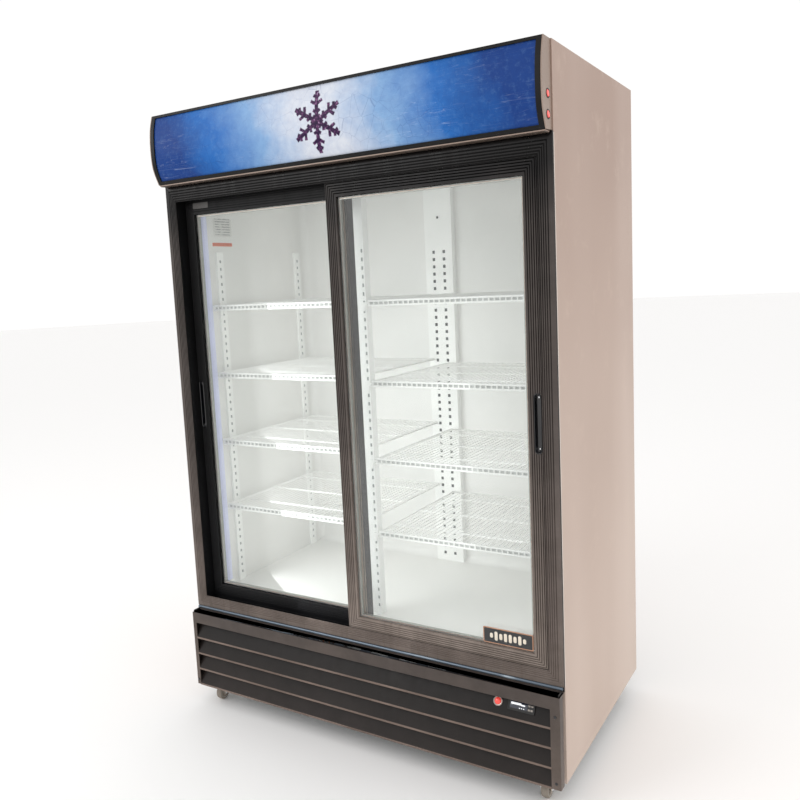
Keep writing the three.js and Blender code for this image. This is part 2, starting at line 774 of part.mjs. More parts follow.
part(cabinet, "pilaster_centre_front", centreFrontPost(), "whiteLiner");
part(cabinet, "pilaster_centre_rear", centreRearPillar(), "whiteLiner");
for (const [name, side] of Object.entries(sides)) {
  for (const [end, depth] of Object.entries(pilasterMiddles)) {
    part(cabinet, `pilaster_${name}_${end}`, wallPilaster(side, depth), "whiteLiner");
  }
  part(cabinet, `led_bar_${name}`, ledBar(side), "lampWhite");
  const heights = side < 0 ? leftShelfHeights : rightShelfHeights;
  heights.forEach((height, level) => {
    part(cabinet, `shelf_${name}_${level + 1}`, wireShelf(side, height), "whiteWire");
  });
}

for (const [end, depth] of Object.entries(casterPlaces)) {
  for (const [name, side] of Object.entries(sides)) {
    const swivel = [side * casterInset, depth, 0];
    const hub = [side * casterInset, depth - wheelTrail, axleHeight];
    part(cabinet, `caster_fork_${end}_${name}`, casterFork(), "galvanised", swivel);
    part(cabinet, `caster_wheel_${end}_${name}`, casterWheel(), "tyre", hub);
  }
}

export default merchandiser;
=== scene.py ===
"""Looks for a two-section sliding glass door merchandiser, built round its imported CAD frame.

Metres, +X to the right, +Y to the back, +Z up. Places come from the CAD nodes' boxes.
"""
import math

import bmesh
import bpy
from mathutils import Matrix, Vector


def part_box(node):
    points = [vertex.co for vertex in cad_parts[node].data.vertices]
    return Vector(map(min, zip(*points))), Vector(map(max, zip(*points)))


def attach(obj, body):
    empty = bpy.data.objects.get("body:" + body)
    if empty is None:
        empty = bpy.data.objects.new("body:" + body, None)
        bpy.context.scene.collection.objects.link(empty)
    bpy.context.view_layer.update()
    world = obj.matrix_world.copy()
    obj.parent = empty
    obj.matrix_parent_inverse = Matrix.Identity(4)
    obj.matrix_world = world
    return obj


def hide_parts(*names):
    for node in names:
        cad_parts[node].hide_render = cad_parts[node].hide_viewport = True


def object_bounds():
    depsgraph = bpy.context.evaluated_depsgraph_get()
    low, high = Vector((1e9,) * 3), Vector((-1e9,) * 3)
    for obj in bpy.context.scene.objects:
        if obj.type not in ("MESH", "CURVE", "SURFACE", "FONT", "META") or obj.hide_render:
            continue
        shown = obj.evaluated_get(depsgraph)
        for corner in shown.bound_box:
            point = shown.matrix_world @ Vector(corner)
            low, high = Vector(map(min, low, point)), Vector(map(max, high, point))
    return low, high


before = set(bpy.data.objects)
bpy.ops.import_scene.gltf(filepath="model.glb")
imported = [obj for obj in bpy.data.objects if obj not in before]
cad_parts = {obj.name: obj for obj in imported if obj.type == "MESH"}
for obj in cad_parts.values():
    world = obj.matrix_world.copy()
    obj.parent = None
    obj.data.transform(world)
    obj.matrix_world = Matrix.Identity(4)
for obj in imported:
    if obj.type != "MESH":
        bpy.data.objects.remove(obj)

cad_low, cad_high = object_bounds()
scene = bpy.context.scene

# ---------------------------------------------------------------- camera, stage and light

CAMERA_PLACE = (1.355, -2.296, 1.438)
CAMERA_YAW, CAMERA_TILT, CAMERA_ROLL = 31.92, 7.18, -2.81  # degrees
CAMERA_LENS = 36.35
CAMERA_SHIFT = (0.0237, -0.0207)
FLOOR_RADIUS = 40.0


def make_camera():
    camera = bpy.data.objects.new("camera", bpy.data.cameras.new("camera"))
    scene.collection.objects.link(camera)
    camera.data.lens = CAMERA_LENS
    camera.data.shift_x, camera.data.shift_y = CAMERA_SHIFT
    camera.data.clip_start = 0.01
    turn = Matrix.Rotation(math.radians(CAMERA_YAW), 4, "Z")
    turn @= Matrix.Rotation(math.radians(90 - CAMERA_TILT), 4, "X")
    turn @= Matrix.Rotation(math.radians(CAMERA_ROLL), 4, "Z")
    camera.matrix_world = Matrix.Translation(CAMERA_PLACE) @ turn
    scene.camera = camera


def area_light(name, place, target, size, power, colour=(1, 1, 1)):
    data = bpy.data.lights.new(name, "AREA")
    data.shape = "RECTANGLE"
    data.size, data.size_y = size
    data.energy = power
    data.color = colour
    light = bpy.data.objects.new(name, data)
    scene.collection.objects.link(light)
    light.location = place
    light.rotation_euler = (Vector(target) - Vector(place)).to_track_quat("-Z", "Y").to_euler()
    light.visible_camera = False
    light.visible_transmission = False
    return light


def make_stage():
    world = bpy.data.worlds.new("studio")
    scene.world = world
    world.use_nodes = True
    world.node_tree.nodes["Background"].inputs["Color"].default_value = (1.0, 0.995, 0.99, 1)
    world.node_tree.nodes["Background"].inputs["Strength"].default_value = 1.02
    scene.view_settings.view_transform = "Standard"
    scene.cycles.transparent_max_bounces = 32
    area_light("key", (-2.6, -3.6, 3.4), (0, 0, 1.0), (2.6, 2.6), 60)
    area_light("side", (3.4, 0.4, 2.4), (0.6, 0, 1.0), (1.6, 2.2), 16, (1, 0.97, 0.94))
    bm = bmesh.new()
    bmesh.ops.create_circle(bm, cap_ends=True, segments=96, radius=FLOOR_RADIUS)
    mesh = bpy.data.meshes.new("floor")
    bm.to_mesh(mesh)
    bm.free()
    floor = bpy.data.objects.new("floor", mesh)
    scene.collection.objects.link(floor)
    pale = bpy.data.materials.new("pale_floor")
    pale.use_nodes = True
    shader = pale.node_tree.nodes["Principled BSDF"]
    shader.inputs["Base Color"].default_value = (0.93, 0.925, 0.92, 1)
    shader.inputs["Roughness"].default_value = 0.75
    mesh.materials.append(pale)


# ---------------------------------------------------------------- materials

def colour(code):
    """A linear colour from an sRGB hex code."""
    parts = [int(code[at:at + 2], 16) / 255 for at in (0, 2, 4)]
    linear = [c / 12.92 if c <= 0.04045 else ((c + 0.055) / 1.055) ** 2.4 for c in parts]
    return (*linear, 1.0)


class Look:
    """A material under construction, with the record's slot that it stands for."""

    def __init__(self, name, slot, tone, roughness, metallic=0.0, **sockets):
        self.slot = slot
        self.material = bpy.data.materials.new(name)
        self.material.use_nodes = True
        self.tree = self.material.node_tree
        self.shader = self.tree.nodes["Principled BSDF"]
        self.place = self.tree.nodes.new("ShaderNodeTexCoord").outputs["Object"]
        self.set("Base Color", colour(tone) if isinstance(tone, str) else tone)
        self.set("Roughness", roughness)
        self.set("Metallic", metallic)
        for socket, value in sockets.items():
            self.set(socket.replace("_", " "), value)

    def feed(self, socket, value):
        if isinstance(value, bpy.types.NodeSocket):
            self.tree.links.new(value, socket)
        elif value is not None:
            socket.default_value = value

    def set(self, socket, value):
        self.feed(self.shader.inputs[socket], value)

    def add(self, kind, *values, **named):
        """A node: lower-case names are its settings, and the others are its inputs."""
        node = self.tree.nodes.new("ShaderNode" + kind)
        for key, value in named.items():
            if key[0].islower():
                setattr(node, key, value)
        for key, value in named.items():
            if key[0].isupper():
                self.feed(node.inputs[key.replace("_", " ")], value)
        for socket, value in zip(node.inputs, values):
            self.feed(socket, value)
        return node.outputs[0]

    def maths(self, operation, first, second=0.0, clamp=False):
        return self.add("Math", first, second, operation=operation, use_clamp=clamp)

    def stretched(self, stretch):
        return self.add("Mapping", Vector=self.place, Scale=stretch)

    def noise(self, scale, detail=3.0, stretch=(1, 1, 1), roughness=0.5, distortion=0.0):
        place = self.stretched(stretch)
        return self.add("TexNoise", Vector=place, Scale=scale, Detail=detail, Roughness=roughness,
                        Distortion=distortion)

    def cells(self, scale, feature):
        return self.add("TexVoronoi", Vector=self.place, Scale=scale, feature=feature)

    def axis(self, index):
        node = self.tree.nodes.new("ShaderNodeSeparateXYZ")
        self.feed(node.inputs[0], self.place)
        return node.outputs[index]

    def ramp(self, value, *stops):
        node = self.tree.nodes.new("ShaderNodeValToRGB")
        self.feed(node.inputs[0], value)
        while len(node.color_ramp.elements) < len(stops):
            node.color_ramp.elements.new(0.5)
        for element, (position, tone) in zip(node.color_ramp.elements, stops):
            element.position = position
            element.color = colour(tone) if isinstance(tone, str) else (tone, tone, tone, 1)
        return node.outputs[0]

    def mix(self, share, first, second, kind="MIX"):
        return self.add("MixRGB", share, first, second, blend_type=kind)

    def span(self, value, low, high, to_low=0.0, to_high=1.0):
        return self.add("MapRange", value, low, high, to_low, to_high)

    def bump(self, height, strength, depth):
        self.set("Normal", self.add("Bump", Height=height, Strength=strength, Distance=depth))


def painted_steel(name, slot, top, bottom, roughness, metallic=0.1):
    """Satin powder coat on sheet steel with fine orange peel and random smudges, and a painted reflection:
    paler low down where the pale floor is painted in, with soft upright streaks of a darker tone.
    """
    look = Look(name, slot, top, roughness, metallic)
    upright_reflection_streaks = look.noise(2.6, 2.0, (1, 1, 0.12))
    broad = look.noise(1.4, 2.0)
    # painted reflection of the floor: the tone pales by height towards the cabinet's foot
    height = look.span(look.axis(2), cad_low.z, cad_high.z)
    height = look.maths("ADD", height, look.span(broad, 0.2, 0.8, -0.15, 0.15), clamp=True)
    tone = look.ramp(height, (0.0, bottom), (1.0, top))
    # painted reflection: soft upright streaks of a slightly darker tone
    reflection_band_tone = look.mix(1.0, tone, (0.93, 0.92, 0.915, 1), "MULTIPLY")
    smudge = look.span(look.noise(11.0, 5.0, roughness=0.7), 0.55, 0.8, 0.0, 0.3)
    tone = look.mix(look.span(upright_reflection_streaks, 0.38, 0.66), tone, reflection_band_tone)
    look.set("Base Color", look.mix(smudge, tone, colour("c9b5a6")))
    look.set("Roughness", look.span(upright_reflection_streaks, 0.3, 0.7, roughness - 0.05, roughness + 0.07))
    dents = look.maths("MULTIPLY", broad, 14.0)
    look.bump(look.maths("ADD", look.noise(900.0, 2.0), dents), 0.12, 0.0002)
    return look


def black_metal(name, slot, heights, roughness, gloss=0.25):
    """Black anodised aluminium or enamelled steel, with fine scratches and random darker patches.

    heights are (share of the cabinet's height, tone): a painted reflection of the pale floor that pales the
    black low down."""
    look = Look(name, slot, heights[0][1], roughness, Specular_IOR_Level=gloss)
    height = look.span(look.axis(2), cad_low.z, cad_high.z)
    wander = look.span(look.noise(3.0, 3.0), 0.25, 0.75, -0.04, 0.04)
    # painted reflection of the floor: the tone ramp by height pales the black towards the floor
    tone = look.ramp(look.maths("ADD", height, wander, clamp=True), *heights)
    worn = look.mix(1.0, tone, (0.72, 0.71, 0.7, 1), "MULTIPLY")
    dust = look.span(look.noise(14.0, 5.0, roughness=0.65), 0.35, 0.7)
    look.set("Base Color", look.mix(dust, tone, worn))
    scratch = look.noise(60.0, 3.0, (1, 1, 0.08))
    look.set("Roughness", look.span(scratch, 0.3, 0.7, roughness - 0.07, roughness + 0.1))
    look.bump(look.noise(1400.0, 2.0), 0.15, 0.0001)
    return look


def gloss_with_painted_streaks(name, slot, tone, bright):
    """Glossy black enamel with a painted reflection of the room: broken paler streaks along x in its
    colour.
    """
    look = Look(name, slot, tone, 0.15, 0.5)
    reflection_streak = look.noise(34.0, 3.0, (0.12, 1, 1), distortion=0.4)
    broad = look.noise(4.0, 2.0)
    # painted reflection: the share of the paler tone, in broken streaks along x
    share = look.maths("MULTIPLY", look.span(reflection_streak, 0.54, 0.66), look.span(broad, 0.4, 0.62, 0.15, 0.9))
    look.set("Base Color", look.mix(share, colour(tone), colour(bright)))
    look.set("Roughness", look.span(reflection_streak, 0.3, 0.7, 0.1, 0.25))
    look.bump(look.noise(1200.0, 2.0), 0.1, 0.0001)
    return look


def moulded(name, slot, tone, roughness, grain=1200.0, depth=0.0001, second=None, **sockets):
    """Moulded plastic or rubber with a fine grain and a slight change of tone."""
    look = Look(name, slot, tone, roughness, **sockets)
    patch = look.noise(9.0, 3.0)
    darker = colour(second) if second else tuple(c * 0.82 for c in colour(tone)[:3]) + (1,)
    look.set("Base Color", look.mix(look.span(patch, 0.3, 0.75), colour(tone), darker))
    look.set("Roughness", look.span(patch, 0.3, 0.7, roughness - 0.05, roughness + 0.08))
    look.bump(look.noise(grain, 2.0), 0.25, depth)
    return look


def bare_metal(name, slot, tone, roughness, stretch=(1, 1, 1), spangle=0.0):
    """Bright metal: brushed along one way, or with the crystal spangle of zinc."""
    look = Look(name, slot, tone, roughness, 1.0)
    brushed = look.noise(260.0, 3.0, stretch)
    dull = tuple(c * 0.7 for c in colour(tone)[:3]) + (1,)
    if spangle:
        flakes = look.tree.nodes.new("ShaderNodeTexVoronoi")
        look.feed(flakes.inputs["Vector"], look.place)
        flakes.inputs["Scale"].default_value = spangle
        grey = look.add("RGBToBW", flakes.outputs["Color"])
        brushed = look.mix(0.4, grey, brushed)
    look.set("Base Color", look.mix(look.span(brushed, 0.3, 0.8), colour(tone), dull))
    look.set("Roughness", look.span(brushed, 0.2, 0.8, roughness - 0.08, roughness + 0.12))
    look.bump(brushed, 0.1, 0.0002)
    return look


def glass_pane(name, tint):
    """Clear sheet glass: it mirrors by angle on its outer faces and lets the rest straight through."""
    look = Look(name, "door_glass", "ffffff", 0.0)
    output = look.tree.nodes["Material Output"]
    look.tree.nodes.remove(look.shader)
    through = look.add("BsdfTransparent", Color=tint)
    smears = look.noise(5.0, 4.0, (1, 1, 0.4))
    shine = look.add("BsdfGlossy", Color=(1, 1, 1, 1), Roughness=look.span(smears, 0.5, 0.8, 0.01, 0.05))
    by_angle = look.add("Fresnel", IOR=1.62)
    facing = look.tree.nodes.new("ShaderNodeNewGeometry")
    front = look.maths("SUBTRACT", 1.0, facing.outputs["Backfacing"])
    share = look.maths("MULTIPLY", by_angle, front)
    look.feed(output.inputs["Surface"], look.add("MixShader", share, through, shine))
    return look


# The print fades from its pale middle to its dark blue ends: (share of the way to an end, tone).
PRINT_TONES = ((0.1, "d0d4dc"), (0.35, "80a4cc"), (0.6, "2c68b0"), (0.85, "204080"))
SNOWFLAKE_RADIUS = 0.086
SNOWFLAKE_BRANCHES = ((0.30, 0.17), (0.55, 0.27), (0.78, 0.16))  # place and length, shares of the radius


def snowflake(look, x, z):
    """How much a six-armed snowflake centred on (0, 0) covers the point (x, z), from 0 to 1."""
    look.add("VectorMath", look.add("CombineXYZ", x, z, 0.0), operation="LENGTH")
    radius = look.tree.nodes[-1].outputs["Value"]
    sixth = math.radians(60)
    angle = look.maths("ARCTAN2", z, x)
    angle = look.maths("ADD", angle, 4 * math.pi)
    folded = look.maths("SUBTRACT", look.maths("MODULO", angle, sixth), sixth / 2)
    along = look.maths("MULTIPLY", radius, look.maths("COSINE", folded))
    aside = look.maths("ABSOLUTE", look.maths("MULTIPLY", radius, look.maths("SINE", folded)))
    ragged = look.span(look.noise(90.0, 3.0), 0, 1, -0.0025, 0.0025)

    def bar(distance, width, run, length):
        inside = look.span(look.maths("ADD", distance, ragged), width + 0.001, width - 0.001)
        started = look.span(run, -0.002, 0.0)
        ended = look.span(run, length, length - 0.002)
        return look.maths("MULTIPLY", inside, look.maths("MULTIPLY", started, ended))

    cover = bar(aside, 0.0062, along, SNOWFLAKE_RADIUS)
    for place, length in SNOWFLAKE_BRANCHES:
        from_root = look.maths("SUBTRACT", along, place * SNOWFLAKE_RADIUS)
        run = look.maths("ADD", look.maths("MULTIPLY", from_root, math.cos(sixth)),
                         look.maths("MULTIPLY", aside, math.sin(sixth)))
        off = look.maths("SUBTRACT", look.maths("MULTIPLY", aside, math.cos(sixth)),
                         look.maths("MULTIPLY", from_root, math.sin(sixth)))
        off = look.maths("ABSOLUTE", off)
        cover = look.maths("MAXIMUM", cover, bar(off, 0.0047, run, length * SNOWFLAKE_RADIUS))
    hub = look.span(along, 0.021, 0.018)
    return look.maths("MAXIMUM", cover, hub)


def canopy_print():
    """The printed canopy sheet: a frosty blue gradient with fine cracks, scratches and a snowflake."""
    look = Look("canopy_print", "blue_face", "2c60ae", 0.32, Specular_IOR_Level=0.08)
    low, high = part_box("canopy_face_panel")
    middle = (low.z + high.z) / 2
    x, z = look.axis(0), look.maths("SUBTRACT", look.axis(2), middle)
    cloud = look.noise(9.0, 6.0, roughness=0.6)
    lean = look.maths("MULTIPLY", z, 0.35)
    along = look.span(look.maths("ADD", x, lean), low.x, high.x)
    along = look.maths("ADD", along, look.span(cloud, 0, 1, -0.075, 0.075))
    outwards = look.maths("ABSOLUTE", look.maths("SUBTRACT", along, 0.5))
    tone = look.ramp(look.maths("MULTIPLY", outwards, 2.0), *PRINT_TONES)
    mottle = look.noise(38.0, 5.0, roughness=0.7)
    tone = look.mix(look.span(mottle, 0.35, 0.75, 0.0, 0.22), tone, colour("3c6cb4"), "MULTIPLY")
    frost = look.span(look.noise(75.0, 6.0, roughness=0.75), 0.52, 0.75, 0.0, 0.12)
    tone = look.mix(frost, tone, colour("8fbce6"))
    crack = look.cells(26.0, "DISTANCE_TO_EDGE")
    crack = look.maths("MULTIPLY", look.span(crack, 0.02, 0.0), look.span(cloud, 0.45, 0.6))
    tone = look.mix(look.maths("MULTIPLY", crack, 0.35), tone, colour("1c3a78"))
    scratch = look.noise(16.0, 2.0, (0.25, 1, 5.0), distortion=0.6)
    scratch = look.span(look.maths("ABSOLUTE", look.maths("SUBTRACT", scratch, 0.5)), 0.006, 0.0)
    scratch = look.maths("MULTIPLY", scratch, look.span(look.noise(3.0, 2.0), 0.5, 0.62))
    tone = look.mix(look.maths("MULTIPLY", scratch, 0.28), tone, colour("c9d6ee"))
    paint = look.noise(110.0, 5.0, roughness=0.7)
    dark = look.ramp(paint, (0.3, "1a1230"), (0.5, "35203f"), (0.62, "6a3f68"), (0.74, "c9b9d6"))
    tone = look.mix(snowflake(look, x, z), tone, dark)
    look.set("Base Color", tone)
    look.set("Roughness", look.span(cloud, 0.3, 0.7, 0.2, 0.36))
    look.bump(look.maths("ADD", mottle, scratch), 0.06, 0.0003)
    return look


def lined_paper(name, slot, low, high, ink):
    """A pale printed label: blank rows of grey inside a plain margin, with no lettering."""
    look = Look(name, slot, "dcdcd8", 0.55)
    down = look.span(look.axis(2), low.z, high.z)
    across = look.span(look.axis(1), low.y, high.y)
    rows = look.maths("FRACT", look.maths("MULTIPLY", down, 7.0))
    lines = look.maths("GREATER_THAN", rows, 0.62)
    margin = look.maths("MULTIPLY", look.span(across, 0.08, 0.1), look.span(across, 0.92, 0.9))
    worn = look.span(look.noise(60, 2), 0.4, 0.5, 0.2, 0.62)
    share = look.maths("MULTIPLY", look.maths("MULTIPLY", lines, margin), worn)
    look.set("Base Color", look.mix(share, colour("dcdcd8"), colour(ink)))
    look.bump(look.noise(900.0, 2.0), 0.1, 0.0001)
    return look


def liner_white():
    """White moulded liner plastic with a soft sheen, faint scuffs and a tone that varies a little at
    random.
    """
    look = Look("liner_white", "white_liner", "e9eae7", 0.4)
    cloud = look.noise(3.0, 3.0)
    scuff = look.span(look.noise(30.0, 5.0, (1, 1, 0.3), roughness=0.7), 0.6, 0.8, 0.0, 0.25)
    tone = look.mix(look.span(cloud, 0.3, 0.7), colour("efeeeb"), colour("e6e6e3"))
    look.set("Base Color", look.mix(scuff, tone, colour("d0d0cd")))
    look.set("Roughness", look.span(cloud, 0.3, 0.7, 0.34, 0.5))
    look.bump(look.noise(500.0, 2.0), 0.08, 0.0002)
    return look


# Tones by height for the black_metal looks. The frame and door faces pale to brown low down: a painted
# reflection of the floor.
FRAME_FLOOR_REFLECTION_TONES = ((0.15, "71665f"), (0.3, "655b56"), (0.5, "554d49"), (0.8, "453f3c"), (0.855, "0f0c0c"))
# The groove tones are darker than their faces as painted shade in the grooves, with the same painted floor
# reflection low down.
GROOVE_SHADE_AND_REFLECTION_TONES = ((0.15, "6d625c"), (0.25, "584e49"), (0.5, "332e2b"), (0.85, "0a0909"))
# The rear door's meeting strip: black metal painted pale beige, paler low down, as a painted reflection.
STRIP_REFLECTION_TONES = ((0.15, "dccabb"), (0.5, "c4b4a6"), (0.85, "b09f92"))
STRIP_EDGE_REFLECTION_TONES = ((0.15, "cfbfb0"), (0.35, "ab9e91"), (0.6, "6b645b"), (0.85, "454038"))
DOOR_FLOOR_REFLECTION_TONES = (
    (0.12, "978c85"), (0.2, "877b73"), (0.3, "766b64"), (0.5, "58504c"), (0.8, "453f3c"), (0.855, "0f0c0c"),
)
DOOR_GROOVE_SHADE_AND_REFLECTION_TONES = ((0.12, "8e837c"), (0.2, "7a6f67"), (0.3, "564d48"), (0.5, "332e2b"), (0.85, "0a0909"))
CHANNEL_TONES = ((0.1, "151517"), (0.5, "121213"), (0.9, "0b0b0c"))
# The grille's black metal in brown tones, paler low down: a painted reflection of the floor.
GRILLE_FLOOR_REFLECTION_TONES = ((0.0, "6e625c"), (0.08, "61564f"), (0.17, "4d4541"))
# The louvre blades are darker than the grille: painted shade on their sloping faces.
BLADE_SHADE_TONES = ((0.03, "2c2624"), (0.1, "231e1c"), (0.17, "1d1a19"))

LOOKS = {
    "cabinet": painted_steel("cabinet_steel", "cabinet_panel", "a68e81", "cdbaad", 0.42),
    "beige": painted_steel("beige_steel", "beige_steel", "8f7c70", "cdbaad", 0.38),
    "frame": black_metal("frame_black", "black_frame", FRAME_FLOOR_REFLECTION_TONES, 0.3),
    "door": black_metal("door_black", "black_frame", DOOR_FLOOR_REFLECTION_TONES, 0.3),
    # rib is the door's groove look: painted shade in its grooves
    "rib": black_metal("door_groove_shade", "black_frame", DOOR_GROOVE_SHADE_AND_REFLECTION_TONES, 0.5, 0.1),
    "groove_shade": black_metal("frame_groove_shade", "black_frame", GROOVE_SHADE_AND_REFLECTION_TONES, 0.5, 0.1),
    "channel": black_metal("frame_channel", "black_frame", CHANNEL_TONES, 0.4, 0.2),
    "grille": black_metal("grille_brown_reflection", "black_frame", GRILLE_FLOOR_REFLECTION_TONES, 0.4),
    "blade": black_metal("grille_blade_shade", "black_frame", BLADE_SHADE_TONES, 0.35, 0.2),
    "ledge_reflections": gloss_with_painted_streaks("grille_ledge_reflections", "black_frame", "17191c", "a9b7c4"),
    # painted highlight: the louvre hems in a pale tan on black metal
    "lips": moulded("louvre_lip_highlight", "black_frame", "7c6c63", 0.4, second="64564e", Specular_IOR_Level=0.2),
    # painted highlight: a blue-grey tone with paler streaks on a black bead
    "bead": gloss_with_painted_streaks("bead_black_highlight", "black_plastic", "5f6a76", "d3dee6"),
    # painted highlight along the side panels' folded front edges
    "trim": moulded("pale_edge_highlight", "beige_steel", "e6ddd4", 0.4),
    "lip_shadow": moulded("shaded_drip_lip", "beige_steel", "54483f", 0.4),
    # painted shade: a greyer white for the plate behind the shelf lips
    "stiffener": moulded("lip_shade_plate", "white_wire", "dcdedc", 0.6),
    "plate": moulded("end_plate", "black_plastic", "4a4745", 0.4),
    "strip": black_metal("interlock_strip_reflection", "black_frame", STRIP_REFLECTION_TONES, 0.5, 0.1),
    "strip_edge": black_metal("interlock_edge_reflection", "black_frame", STRIP_EDGE_REFLECTION_TONES, 0.5, 0.1),
    # painted shade: the floors of the posts' slots, darker in the rear post
    "hole_shade_dark": moulded("slot_shade_dark", "white_wire", "4a4f4e", 0.8),
    "hole_shade_pale": moulded("slot_shade_pale", "white_wire", "a9adab", 0.8),
    "cream": moulded("badge_cream", "black_plastic", "eadfce", 0.35),
    "lamp_ring": bare_metal("lamp_ring", "galvanised_steel", "b3a6a0", 0.3),
    "bezel": moulded("bezel_black", "black_plastic", "0f0e0e", 0.3, Specular_IOR_Level=0.2),
    "plastic": moulded("black_plastic", "black_plastic", "1a1918", 0.45),
    "gloss_black": moulded("gloss_black", "black_plastic", "0b0c10", 0.12, Coat_Weight=0.6),
    "rubber": moulded("rubber", "black_plastic", "22201f", 0.8, 600.0, 0.0003),
    "liner": liner_white(),
    # painted light: a faint emission brightens the white wire as if lit
    "wire": moulded("wire_white_glow", "white_wire", "f8f8f6", 0.3, 700.0, 0.0001, "efefec",
                    Emission_Color=(1, 1, 0.98, 1), Emission_Strength=0.05),
    # painted light: a faint emission brightens the white posts, clips and light-bar ends
    "post": moulded("post_white_glow", "white_wire", "ecece9", 0.38, 800.0, 0.0001, "e1e2df",
                    Emission_Color=(1, 1, 0.99, 1), Emission_Strength=0.1),
    "print": canopy_print(),
    "red": moulded("red_plastic", "red_plastic", "e2413a", 0.25, Coat_Weight=0.5,
                   Emission_Color=(1, 0.1, 0.07, 1), Emission_Strength=0.35),
    "spacer": bare_metal("spacer_aluminium", "bare_aluminium", "b4b5b0", 0.45),
    "aluminium": bare_metal("bare_aluminium", "bare_aluminium", "c2c4c6", 0.32, (1, 1, 0.1)),
    "interlock": bare_metal("interlock_grey", "bare_aluminium", "a39c96", 0.38, (1, 1, 0.05)),
    "chrome": bare_metal("chrome", "galvanised_steel", "e4e5e6", 0.12),
    "zinc": bare_metal("galvanised", "galvanised_steel", "a9adaf", 0.42, spangle=55.0),
    "bracket": bare_metal("caster_zinc", "galvanised_steel", "d9cfc3", 0.4),
    "copper": bare_metal("copper", "galvanised_steel", "c08560", 0.3),
    "copper_paint": moulded("copper_border", "black_plastic", "b98b70", 0.3),
    "machine": moulded("machine_black", "dark_machinery", "17181a", 0.5, 500.0, 0.0002),
    "nylon": moulded("nylon", "roller_nylon", "e2dfd4", 0.5),
    "tyre": moulded("tyre", "caster_tyre", "93897e", 0.7, 500.0, 0.0003),
    "wheel": moulded("wheel_face", "roller_nylon", "dcd8cf", 0.5),
    "lamp": moulded("lamp_diffuser", "lamp_white", "c9cdea", 0.35, Emission_Color=(0.72, 0.76, 1, 1),
                    Emission_Strength=0.12),
    "tube": moulded("lamp_tube", "lamp_white", "f4f6ff", 0.3),
    "orange": moulded("orange_bar", "red_plastic", "d9653a", 0.5),
    "pane": glass_pane("glass_pane", (0.99, 0.996, 0.994, 1)),
    "display": moulded("display_window", "black_plastic", "20283a", 0.08, Coat_Weight=1.0),
    "glare": moulded("display_glare", "lamp_white", "f1f2f6", 0.2,
                     Emission_Color=(0.95, 0.97, 1, 1), Emission_Strength=0.4),
}


# ---------------------------------------------------------------- shapes

# Shapes are drawn in millimetres in the cabinet's own frame: x from its middle, y back from the
# front plane of the black door frame, and z up from the cabinet's underside.
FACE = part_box("frame_head")[0].y
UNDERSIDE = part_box("outer_cabinet")[0].z
TO_ROW = Matrix.Translation((0, FACE, UNDERSIDE)) @ Matrix.Scale(0.001, 4)


def extent(node):
    """A CAD node's box in the cabinet's frame, as three (low, high) pairs."""
    low, high = (TO_ROW.inverted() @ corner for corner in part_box(node))
    return tuple((low[axis], high[axis]) for axis in range(3))


def new_piece(name, bm, looks, body, stands_for=(), bevel=0.0, segments=2, smooth=35):
    """Makes a bmesh, drawn in the cabinet's frame, into a piece that rides on a body."""
    bmesh.ops.recalc_face_normals(bm, faces=bm.faces)
    bm.transform(TO_ROW)
    return finish_piece(name, bm, looks, body, stands_for, bevel, segments, smooth)


def finish_piece(name, bm, looks, body, stands_for=(), bevel=0.0, segments=2, smooth=35):
    for face in bm.faces:
        face.smooth = True
    for edge in bm.edges:
        edge.smooth = len(edge.link_faces) == 2 and edge.calc_face_angle(0) < math.radians(smooth)
    mesh = bpy.data.meshes.new(name)
    bm.to_mesh(mesh)
    bm.free()
    piece = bpy.data.objects.new(name, mesh)
    scene.collection.objects.link(piece)
    looks = looks if isinstance(looks, (list, tuple)) else [looks]
    for look in looks:
        mesh.materials.append(LOOKS[look].material)
    if bevel:
        soften(piece, bevel, segments)
    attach(piece, body)
    if stands_for:
        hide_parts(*stands_for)
    return piece


def soften(piece, width, segments=2):
    modifier = piece.modifiers.new("softened", "BEVEL")
    modifier.width = width / 1000
    modifier.segments = segments
    modifier.limit_method = "ANGLE"
    modifier.angle_limit = math.radians(38)
    modifier.harden_normals = True


def softened(node, look, body="root", width=0.6, segments=2, extra=None):
    """The node's own shape with its edges rounded, standing for the node."""
    bm = bmesh.new()
    bm.from_mesh(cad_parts[node].data)
    bmesh.ops.remove_doubles(bm, verts=bm.verts, dist=1e-6)
    bmesh.ops.dissolve_limit(bm, angle_limit=math.radians(0.6), verts=bm.verts, edges=bm.edges)
    bmesh.ops.recalc_face_normals(bm, faces=bm.faces)
    if extra:
        bm.transform(TO_ROW.inverted())
        extra(bm)
        bm.transform(TO_ROW)
    return finish_piece(f"{node}_look", bm, look, body, (node,), width, segments)


def quad_strip(bm, first, second, look, closed=True):
    count = len(first)
    for index in range(count if closed else count - 1):
        after = (index + 1) % count
        face = bm.faces.new((first[index], first[after], second[after], second[index]))
        face.material_index = look[index] if isinstance(look, list) else look


def add_loft(bm, rings, look=0, caps=True):
    """Skins a row of closed rings, with flat caps on its ends."""
    made = [[bm.verts.new(point) for point in ring] for ring in rings]
    for first, second in zip(made, made[1:]):
        quad_strip(bm, first, second, look)
    if caps:
        for ring in (made[0], made[-1]):
            bm.faces.new(ring).material_index = 0 if isinstance(look, list) else look
    return made


def add_box(bm, x, y, z, look=0):
    corners = [(x[0], y[0]), (x[1], y[0]), (x[1], y[1]), (x[0], y[1])]
    add_loft(bm, [[(a, b, height) for a, b in corners] for height in z], look)


def on_axis(axis, u, v, w):
    """The point with the place w along the axis, and u and v along the two others in order."""
    return {"x": (w, u, v), "y": (u, w, v), "z": (u, v, w)}[axis]


def add_prism(bm, axis, outline, start, end, look=0):
    add_loft(bm, [[on_axis(axis, u, v, w) for u, v in outline] for w in (start, end)], look)


